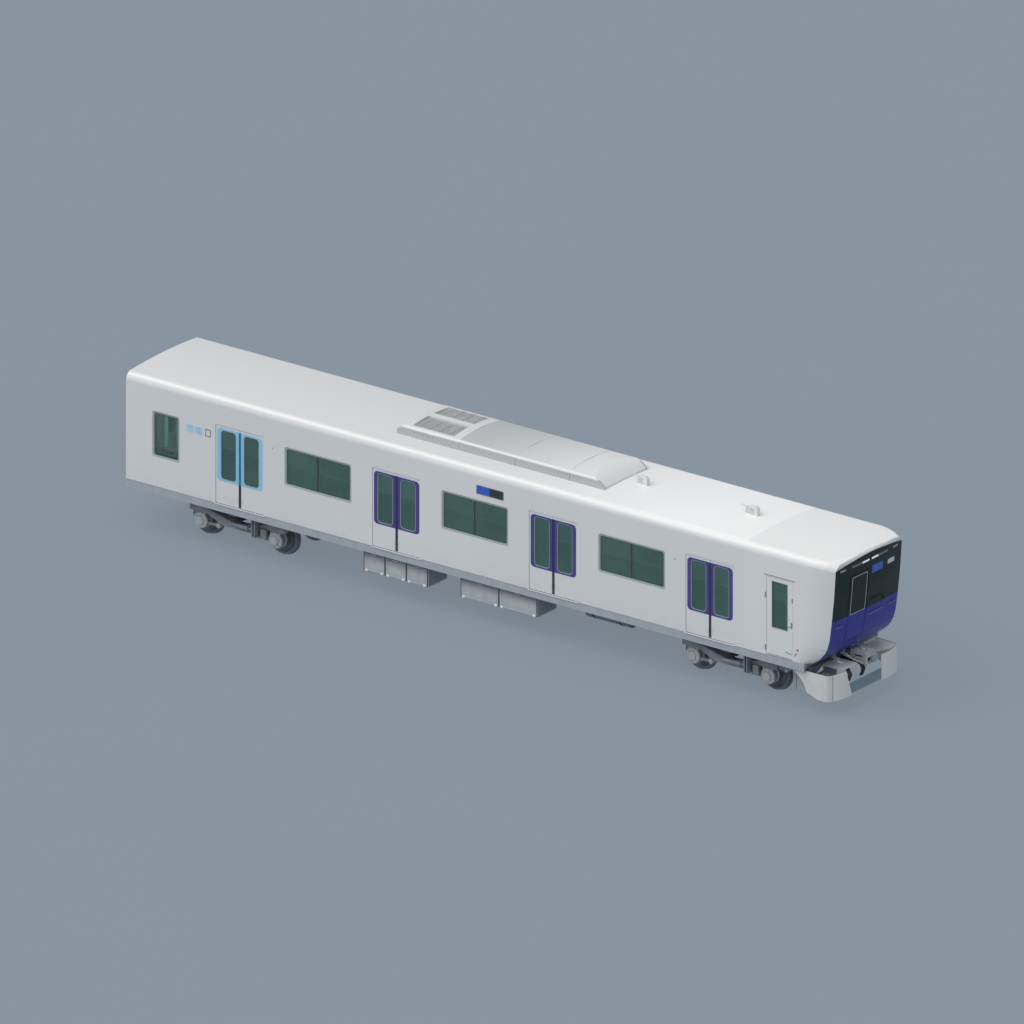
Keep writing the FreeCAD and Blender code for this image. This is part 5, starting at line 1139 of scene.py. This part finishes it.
# bogies: profiles of the wheelsets, axle box covers, air bags and motors
bogieLook = {
    "centres": {"rear_bogie": -7.06, "front_bogie": 6.737}, "half": 1.05, "axleZ": 0.435,
    "shaft": ((0.45, 0.074), (0.49, 0.080), (0.63, 0.078), (0.64, 0.060), (0.698, 0.060)),
    "wheel": ((0.499, 0.079), (0.499, 0.128), (0.535, 0.150), (0.548, 0.300), (0.512, 0.345), (0.497, 0.360),
              (0.496, 0.415), (0.506, 0.431), (0.516, 0.4345), (0.526, 0.430), (0.534, 0.4115),
              (0.612, 0.4075), (0.6195, 0.400), (0.6195, 0.352), (0.600, 0.338), (0.580, 0.300),
              (0.572, 0.165), (0.600, 0.130), (0.619, 0.120), (0.619, 0.079)),
    "disc": (0.573, 0.592, 0.175, 0.285), "hubBoltY": 0.588, "hubBoltRound": 0.150, "drumOut": 0.905,
    "cover": ((-0.03, 0.196), (-0.012, 0.196), (0.002, 0.182), (0.010, 0.150), (0.012, 0.112), (0.042, 0.100),
              (0.046, 0.085), (0.046, 0.02)),
    "collar": ((0.715, 0.188), (0.715, 0.204), (0.750, 0.204), (0.760, 0.188)), "coverBoltRound": 0.134,
    "eye": ((0.80, 0.062), (0.895, 0.062), (0.905, 0.050), (0.915, 0.028)), "eyeX": 0.50, "eyeDrop": 0.03,
    "ribs": (-0.12, 0.12), "rib": ((-0.012, 0.79, 0.56), (0.012, 0.91, 0.66)), "bagY": 0.90,
    "bag": ((0.735, 0.19), (0.745, 0.245), (0.775, 0.263), (0.815, 0.258), (0.845, 0.232), (0.855, 0.228),
            (0.865, 0.232), (0.895, 0.258), (0.935, 0.263), (0.965, 0.245), (0.974, 0.20)),
    "girdle": (0.847, 0.863, 0.228, 0.240),
    "foot": ((0.621, 0.118), (0.634, 0.118), (0.642, 0.098), (0.705, 0.098), (0.716, 0.118), (0.7345, 0.118)),
    "motorX": 0.6, "motorZ": 0.465, "fins": (-0.16, 0.16, 9), "finHalf": 0.006, "finRadii": (0.188, 0.199),
    "shell": ((0.19, 0.190), (0.20, 0.199), (0.285, 0.199), (0.30, 0.195), (0.31, 0.165), (0.335, 0.15),
              (0.34, 0.10)),
}


# turned as wheels are: hub, dished web, rim, tread and flange, with a disc on the web
def makeWheelset(name, x, look):
    wheels = Stock()
    centre = (x, 0, look["axleZ"])
    wheels.turned(bothHalves(look["shaft"]), centre, "Y", 24)
    for side in (-1, 1):
        wheels.turned(flipped(look["wheel"], side), centre, "Y", 56, closed=True)
        wheels.turned(flipped(hoop(*look["disc"]), side), centre, "Y", 40, closed=True)
        spots = boltCircle(x, side * look["hubBoltY"], look["axleZ"], look["hubBoltRound"], 8)
        wheels.bolts(spots, "Y", side, 0.010)
    made = wheels.piece(name + "_turned", "wheel_steel", "wheel_steel", name, smooth=30)
    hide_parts(name)


def dressAxleBox(covers, x, side, way, look):
    z, out = look["axleZ"], side * look["drumOut"]
    covers.turned(flipped(look["cover"], side), (x, out, z), "Y", 32)
    covers.turned(flipped(look["collar"], side), (x, 0, z), "Y", 32, closed=True)
    covers.bolts(boltCircle(x, out + side * 0.008, z, look["coverBoltRound"], 6, 0.3), "Y", side, 0.014)
    eyeX, eyeZ = x - way * look["eyeX"], z - look["eyeDrop"]
    covers.turned(flipped(look["eye"], side), (eyeX, 0, eyeZ), "Y", 20)
    covers.bolts([(eyeX, side * 0.912, eyeZ)], "Y", side, 0.016)
    for shift in look["ribs"]:
        covers.mirrored(look["rib"], side, 0.004, x + shift)


def dressBogie(name, centre, look):
    covers, springs, feet, girdles, motors = stocks(5)
    for side in (-1, 1):
        for way in (-1, 1):
            dressAxleBox(covers, centre + way * look["half"], side, way, look)
        spot = (centre, side * look["bagY"], 0)
        springs.turned(look["bag"], spot, "Z", 40)
        girdles.turned(hoop(*look["girdle"]), spot, "Z", 40, closed=True)
        feet.turned(look["foot"], spot, "Z", 32)
    made = springs.piece(name + "_air_bags", "rubber", "rubber", name)
    feet.piece(name + "_spring_feet", "bogie_grey", "bogie_grey", name)
    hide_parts(name + "_air_springs")
    for way in (-1, 1):
        spot = (centre + way * look["motorX"], 0, look["motorZ"])
        motors.turned(bothHalves(look["shell"]), spot, "Y", 32)
        for y in spread(*look["fins"]):
            fin = hoop(y - look["finHalf"], y + look["finHalf"], *look["finRadii"])
            motors.turned(fin, spot, "Y", 32, closed=True)
    shown = motors.piece(name + "_motor_shells", "bogie_grey", "bogie_grey", name)
    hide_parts(name + "_motors")
    covers.piece(name + "_box_covers", "drumGrey", "bogie_grey", name, edge=0.003)
    girdles.piece(name + "_spring_girdles", "seamGrey", "bogie_grey", name)


for bogieName, centre in bogieLook["centres"].items():
    for endName, way in (("rear", -1), ("front", 1)):
        makeWheelset("%s_%s_wheelset" % (bogieName, endName), centre + way * bogieLook["half"], bogieLook)
    dressBogie(bogieName, centre, bogieLook)
print("bogies dressed")


# air conditioner: fine slats and their bearers in the bays, pale backs of the side slots
unitLook = {
    "bayX": (-2.31, -1.17), "bayInner": 0.10, "bayOuter": 0.68, "slatPitch": 0.040,
    "slat": ((-0.004, 4.000), (0, 4.000), (-0.010, 4.034), (-0.014, 4.034)),
    "bearer": ((-0.006, 0.10, 3.994), (0.006, 0.68, 4.028)), "bearerIn": 0.15, "bearerCount": 4,
    "lip": ((-2.31, 0.10, 3.978), (-1.17, 0.68, 3.984)), "slotStarts": (-2.27, 1.84), "slotCount": 8,
    "slotPitch": 0.084, "slotLong": 0.052, "slotLow": 3.875, "slotHigh": 3.935, "slotDepth": 0.012,
}


def fitAirConditioner(look):
    slats, bearers, backs = stocks(3)
    (rear, front), inner, outer = look["bayX"], look["bayInner"], look["bayOuter"]
    for side in (-1, 1):
        for index in range(int((outer - inner) / look["slatPitch"])):
            y = side * (inner + look["slatPitch"] * (index + 0.5))
            slats.slab(moved(look["slat"], y), rear, front, onEnd())
        for x in spread(rear + look["bearerIn"], front - look["bearerIn"], look["bearerCount"]):
            bearers.mirrored(look["bearer"], side, 0.002, x)
        bearers.mirrored(look["lip"], side, 0)
    made = slats.piece("unit_slats", "slatGrey", "coupler_steel")
    bearers.piece("unit_slat_bearers", "backGrey", "coupler_steel")
    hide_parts("air_conditioner_louvres")
    for side in (-1, 1):
        for first in look["slotStarts"]:
            for index in range(look["slotCount"]):
                left = first + look["slotPitch"] * index
                start = Vector((left - 0.016, side * 3, look["slotLow"] + 0.03))
                reach = abs(outermost(roofSkin, start, Vector((0, -side, 0))).y) - look["slotDepth"]
                near, far = (0, reach - 0.01, look["slotLow"]), (look["slotLong"], reach, look["slotHigh"])
                backs.mirrored((near, far), side, 0, left)
    backs.piece("unit_slot_backs", "slatGrey", "rubber")


fitAirConditioner(unitLook)

# aerials: moulded housings round the two posts, with a short whip to the rear
aerialLook = {
    "middles": (3.59, 6.62), "thick": 0.034, "whip": ((-0.095, 3.951), (-0.265, 3.971)),
    "whipRadius": 0.013,
    "outline": ((-0.115, 3.78), (0.115, 3.78), (0.115, 3.95), (0.085, 3.965), (-0.095, 3.965)),
}


def fitAerials(look):
    housings = Stock()
    for x in look["middles"]:
        housings.slab(moved(look["outline"], x), -look["thick"], look["thick"], onSide(1))
        housings.pipe([(u, 0, v) for u, v in moved(look["whip"], x)], look["whipRadius"], 0.0, 8)
    housings.piece("aerial_housings", "aerialGrey", "coupler_steel", edge=0.008)


fitAerials(aerialLook)
print("roof fitted")


# gangway bellows: pleats behind an end frame with its clamps
bellowsLook = {
    "rear": -10.07, "front": -9.815, "skin": (-0.56, 0.56, 1.21, 3.26), "door": (-0.40, 0.40, 1.29, 3.08),
    "hole": (-0.445, 0.445, 1.26, 3.125), "folds": 7, "depth": 0.045, "frame": 0.035, "clampY": 0.48,
    "clampZ": (1.45, 3.0, 6),
}


def makeBellows(look):
    skin, ends, clamps = stocks(3)
    steps = look["folds"] * 4
    outerRings, innerRings = [], []
    for step, x in enumerate(spread(look["rear"] + look["frame"], look["front"] - 0.006, steps + 1)):
        dip = look["depth"] * (0.5 - 0.5 * math.cos(2 * math.pi * step / 4))
        left, right, low, high = look["hole"]
        hole = roundedLoop(left + dip * 0.9, right - dip * 0.9, low + dip * 0.5, high - dip * 0.9, 0.08)
        outerRings.append([Vector((x, u, v)) for u, v in boxLoop(look["skin"], -dip, 0.12)])
        innerRings.append([Vector((x, u, v)) for u, v in hole])
    skin.rings(outerRings + innerRings[::-1], closed=True)
    made = skin.piece("gangway_pleats", "rubber", "rubber", smooth=60)
    outer, inner = boxLoop(look["skin"], 0, 0.10), boxLoop(look["door"], 0, 0.05)
    ends.border(outer, inner, look["rear"], look["rear"] + look["frame"], onEnd())
    for y in (-look["clampY"], look["clampY"]):
        spots = [(look["rear"] + look["frame"] + 0.002, y, z) for z in spread(*look["clampZ"])]
        clamps.bolts(spots, "X", 1, 0.012)
    clamps.piece("gangway_clamps", "brightSill", "coupler_steel")
    ends.piece("gangway_end_frame", "seamGrey", "coupler_steel", edge=0.004)
    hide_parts("gangway_bellows")


makeBellows(bellowsLook)
print("gangway made")


# simulated pads: the cushions of the saloon and of the driver's seat
padLook = {"swell": 0.014, "grain": 0.022, "pressure": 4, "frames": 20}


# a pad of this size: evened out, swollen as cloth under pressure, kept inside its own box
def makePad(size, look):
    core = Stock()
    reach = Vector([length / 2 - look["swell"] * 0.25 for length in size])
    core.block(-reach, reach, min(reach) * 0.6, 3)
    data = bpy.data.meshes.new("padCore")
    core.mesh.to_mesh(data)
    core.mesh.free()
    pad = addObject("padCore", data)
    even = pad.modifiers.new("even", "REMESH")
    even.mode = "VOXEL"
    even.voxel_size = look["grain"]
    shape = bpy.data.meshes.new_from_object(pad.evaluated_get(bpy.context.evaluated_depsgraph_get()))
    pad.modifiers.clear()
    pad.data = shape
    starts = [point.co.copy() for point in shape.vertices]
    ends = starts
    cloth = pad.modifiers.new("swell", "CLOTH")
    cloth.settings.use_pressure = True
    cloth.settings.uniform_pressure_force = look["pressure"]
    cloth.settings.effector_weights.gravity = 0
    cloth.point_cache.frame_end = look["frames"]
    for step in range(look["frames"]):
        bpy.context.scene.frame_set(step + 1)
    swollen = pad.evaluated_get(bpy.context.evaluated_depsgraph_get()).data
    ends = [point.co.copy() for point in swollen.vertices]
    points = []
    for start, end in zip(starts, ends):
        shift = end - start
        spot = start + shift * min(1.0, look["swell"] / max(shift.length, 1e-6))
        points.append(Vector([max(-length / 2, min(length / 2, part)) for part, length in zip(spot, size)]))
    faces = [list(face.vertices) for face in shape.polygons]
    bpy.data.objects.remove(pad)
    return points, faces


def mirroredPad(pad, side, lean=0.0):
    return [Vector((point.x, side * (point.y + point.z * lean), point.z)) for point in pad[0]], pad[1]


# saloon: cushions on shells between end panels, racks and straps above, lit strips along the ceiling
saloonLook = {
    "firstRear": -9.655, "doorEdge": 0.736, "seatPitch": 0.46, "seat": (0.454, 0.415, 0.115),
    "back": (0.454, 0.090, 0.430), "seatY": 0.930, "seatZ": 1.592, "backY": 1.215, "backZ": 1.885,
    "lean": 0.13, "bench": ((0.735, 1.512), (1.262, 1.533)), "plinth": ((0.985, 1.201), (1.235, 1.514)),
    "plinthIn": 0.05, "panel": (0.73, 1.265, 1.505, 2.095), "panelRound": (0.02, 0.02, 0.02, 0.16),
    "panelIn": 0.012, "panelHalf": 0.010, "rackY": (0.98, 1.06, 1.14, 1.22), "rackZ": 2.93,
    "bracket": ((1.278, 3.00), (1.24, 2.922), (0.98, 2.922)), "strapY": 0.62, "strapZ": 3.12,
    "strapPitch": 0.42, "strapLoop": ((-0.012, -0.017, -0.14), (0.012, 0.017, 0.017)), "railIn": 0.02,
    "postIn": 0.1, "postTop": 3.60,
    "ring": ((-0.06, -0.235), (0.06, -0.235), (0.008, -0.135), (-0.008, -0.135)),
    "strip": ((-9.55, 0.28, 3.600), (7.40, 0.40, 3.645)),
    "shelf": ((-9.20, 1.20, 1.96), (-8.20, 1.275, 2.115)), "uprights": (-8.94, -8.60, -8.46),
    "upright": ((-0.030, 1.02, 1.95), (0.030, 1.10, 3.20)),
    "rail": ((-9.10, 1.03, 2.84), (-8.30, 1.09, 2.90)),
}


def saloonBays(look):
    edges = [look["firstRear"]]
    for index in range(doorLook["count"]):
        edges += [doorCentre(index) - look["doorEdge"], doorCentre(index) + look["doorEdge"]]
    return list(zip(edges[::2], edges[1::2]))


def fitShells(shells, low, high, side, look):
    for part, inset, edge in (("bench", 0.0, 0.006), ("plinth", look["plinthIn"], 0.004)):
        (nearY, lowZ), (farY, highZ) = look[part]
        shells.block((low + inset, side * nearY, lowZ), (high - inset, side * farY, highZ), edge)
    panel = [(side * u, v) for u, v in boxLoop(look["panel"], 0, look["panelRound"], 5)]
    for x in (low + look["panelIn"], high - look["panelIn"]):
        shells.slab(panel, -look["panelHalf"], look["panelHalf"], onEnd(x))


def fitRacks(racks, low, high, side, look):
    for y in look["rackY"]:
        racks.pipe([(low, side * y, look["rackZ"]), (high, side * y, look["rackZ"])], 0.009, 0.0, 8)
    for x in spread(low + look["railIn"], high - look["railIn"], 4):
        racks.pipe([(x, side * y, z) for y, z in look["bracket"]], 0.010, 0.03, 8)


def fitStraps(straps, rings, low, high, side, look):
    y, z = side * look["strapY"], look["strapZ"]
    straps.pipe([(low + look["railIn"], y, z), (high - look["railIn"], y, z)], 0.015, 0.0, 10)
    for x in (low + look["postIn"], high - look["postIn"]):
        straps.pipe([(x, y, z), (x, y, look["postTop"])], 0.012, 0.0, 8)
    for step in range(int((high - low) / look["strapPitch"])):
        x = low + look["strapPitch"] * (step + 0.5)
        straps.block(*beside((x, y, z), look["strapLoop"]), 0.003)
        ring = [(x + along, y, z + up) for along, up in look["ring"]]
        rings.pipe(ring + ring[:1], 0.0075, 0.02, 8)


def fitSaloon(look):
    seat, back = makePad(look["seat"], padLook), makePad(look["back"], padLook)
    seats, backs, shells, racks, straps, rings, strips, shelf, partition = stocks(9)
    for low, high in saloonBays(look):
        count = int((high - low - 0.05) / look["seatPitch"])
        first = (low + high) / 2 - look["seatPitch"] * (count - 1) / 2
        middles = [first + look["seatPitch"] * step for step in range(count)]
        for side in (-1, 1):
            places = [(x, side * look["seatY"], look["seatZ"]) for x in middles]
            seats.copies(mirroredPad(seat, side), places)
            places = [(x, side * look["backY"], look["backZ"]) for x in middles]
            backs.copies(mirroredPad(back, side, look["lean"]), places)
            fitShells(shells, low, high, side, look)
            fitRacks(racks, low, high, side, look)
            fitStraps(straps, rings, low, high, side, look)
    for side in (-1, 1):
        shelf.mirrored(look["shelf"], side, 0.006)
        for x in look["uprights"]:
            partition.mirrored(look["upright"], side, 0.010, x)
        partition.mirrored(look["rail"], side, 0.008)
        strips.mirrored(look["strip"], side, 0.012)
    made = seats.piece("saloon_seat_cushions", "seat_fabric", "seat_fabric", smooth=60)
    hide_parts("saloon_seats")
    made = backs.piece("saloon_back_cushions", "seat_fabric", "seat_fabric", smooth=60)
    shelf.piece("rear_shelf", "woodTrim", "interior_panel")
    # the rear partition glows as painted light
    partition.piece("rear_partition", "partitionTeal", "interior_panel")
    shells.piece("seat_shells", "interior_panel", "interior_panel", edge=0.002)
    racks.piece("luggage_racks", "pole_steel", "pole_steel")
    straps.piece("strap_rails", "pole_steel", "pole_steel")
    rings.piece("strap_rings", "paleTrim", "interior_panel")
    strips.piece("ceiling_lights", "ceilingGlow", "lamp_lens")


fitSaloon(saloonLook)
print("saloon fitted")


# cab: the driver's desk with its hood, screens and handle, and a seat with simulated pads
cabLook = {
    "desk": ((8.955, 1.201), (9.115, 1.201), (9.120, 1.450), (9.495, 1.760), (9.495, 2.015),
             (9.200, 1.995), (8.885, 1.895), (8.955, 1.840)), "deskY": (0.025, 1.065),
    "hood": ((9.14, 1.976), (9.46, 2.012), (9.44, 2.060), (9.30, 2.070), (9.16, 2.030)),
    "hoodY": (0.12, 0.98),
    "handle": ((0, 0.030), (0.05, 0.026), (0.055, 0.012), (0.13, 0.012), (0.14, 0.022), (0.17, 0.022)),
    "handleSpot": (9.03, 0.62, 1.945), "screens": (0.20, 0.44, 0.68),
    "screen": ((9.150, 0, 2.000), (9.162, 0.20, 2.028)),
    "seat": (8.645, 0.35),
    "post": ((0, 0.16), (0.02, 0.16), (0.03, 0.045), (0.40, 0.045), (0.405, 0.13), (0.43, 0.13)),
    "floor": 1.201, "pan": (0.40, 0.41, 0.09), "panZ": 1.676, "back": (0.075, 0.41, 0.56),
    "backShift": 0.225, "backZ": 1.960,
}


def fitCabInside(look):
    desk, dark, screens, seat, post = stocks(5)
    desk.slab(look["desk"], *look["deskY"], onSide(1))
    desk.piece("driver_desk", "interior_panel", "interior_panel", edge=0.010)
    dark.slab(look["hood"], *look["hoodY"], onSide(1))
    dark.turned(look["handle"], look["handleSpot"], "Z", 16)
    made = dark.piece("desk_hood", "rubber", "rubber", edge=0.006)
    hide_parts("cab_desk")
    for y in look["screens"]:
        screens.block(*beside((0, y, 0), look["screen"]), 0.001)
    screens.piece("desk_screens", "signDark", "lamp_lens")
    x, y = look["seat"]
    post.turned(look["post"], (x, y, look["floor"]), "Z", 20)
    post.piece("driver_seat_post", "pole_steel", "pole_steel")
    seat.copies(makePad(look["pan"], padLook), [(x, y, look["panZ"])])
    seat.copies(makePad(look["back"], padLook), [(x - look["backShift"], y, look["backZ"])])
    made = seat.piece("driver_seat_pads", "seat_fabric", "seat_fabric", smooth=60)


fitCabInside(cabLook)
print("cab fitted")


# floor and light: a plain pale sheet, an even sky and one broad soft lamp high on the near side
studioLook = {
    "floor": (0.2423, 0.2918, 0.3467), "floorGlow": 0.75, "floorReach": 150, "sky": (0.985, 0.99, 1.0),
    "skyLevel": 0.47, "lampLevel": 2.0, "lampWide": 65, "lampAzimuth": -20, "lampRise": 57,
}


def makeFloor(look):
    def paint(start):
        pale = tuple(channel * (1 - look["floorGlow"]) for channel in look["floor"])
        dark = tuple(channel * 0.985 for channel in pale)
        return {"Base Color": start.place().cloud(0.15, 2.0).rising(0.3, 0.7).tint(pale, dark)}

    sheet = bpy.data.meshes.new("studioFloor")
    reach = look["floorReach"]
    corners = [(reach * x, reach * y, 0) for x, y in ((-1, -1), (1, -1), (1, 1), (-1, 1))]
    sheet.from_pydata(corners, [], [(0, 1, 2, 3)])
    floor = addObject("studioFloor", sheet)
    fixed = {
        "Emission Color": (*look["floor"], 1), "Emission Strength": look["floorGlow"], "Roughness": 0.9,
        "Specular IOR Level": 0.1,
    }
    sheet.materials.append(makeFinish("studioFloor", fixed, paint))


# what the eye, reflections and the glass meet beyond the floor is the floor's own colour
def setLight(look):
    lamp = bpy.data.lights.new("softLamp", "SUN")
    lamp.energy = look["lampLevel"]
    lamp.angle = math.radians(look["lampWide"])
    toLamp = wayTo(look["lampAzimuth"], look["lampRise"])
    addObject("softLamp", lamp).rotation_euler = toLamp.to_track_quat("Z", "Y").to_euler()
    world = bpy.data.worlds.new("studioSky")
    bpy.context.scene.world = world
    world.use_nodes = True
    sky = world.node_tree.nodes["Background"]
    sky.inputs["Strength"].default_value = look["skyLevel"]
    start = Wire(world.node_tree)
    rays = [
        start.node("ShaderNodeLightPath", out="Is %s Ray" % kind)
        for kind in ("Camera", "Glossy", "Transmission")]
    seen = rays[0] + rays[1] + rays[2]
    backdrop = tuple(channel / look["skyLevel"] for channel in look["floor"])
    world.node_tree.links.new(seen.tint(look["sky"], backdrop).socket, sky.inputs["Color"])


makeFloor(studioLook)
setLight(studioLook)
bpy.context.scene.view_settings.view_transform = "Standard"
print("studio set")
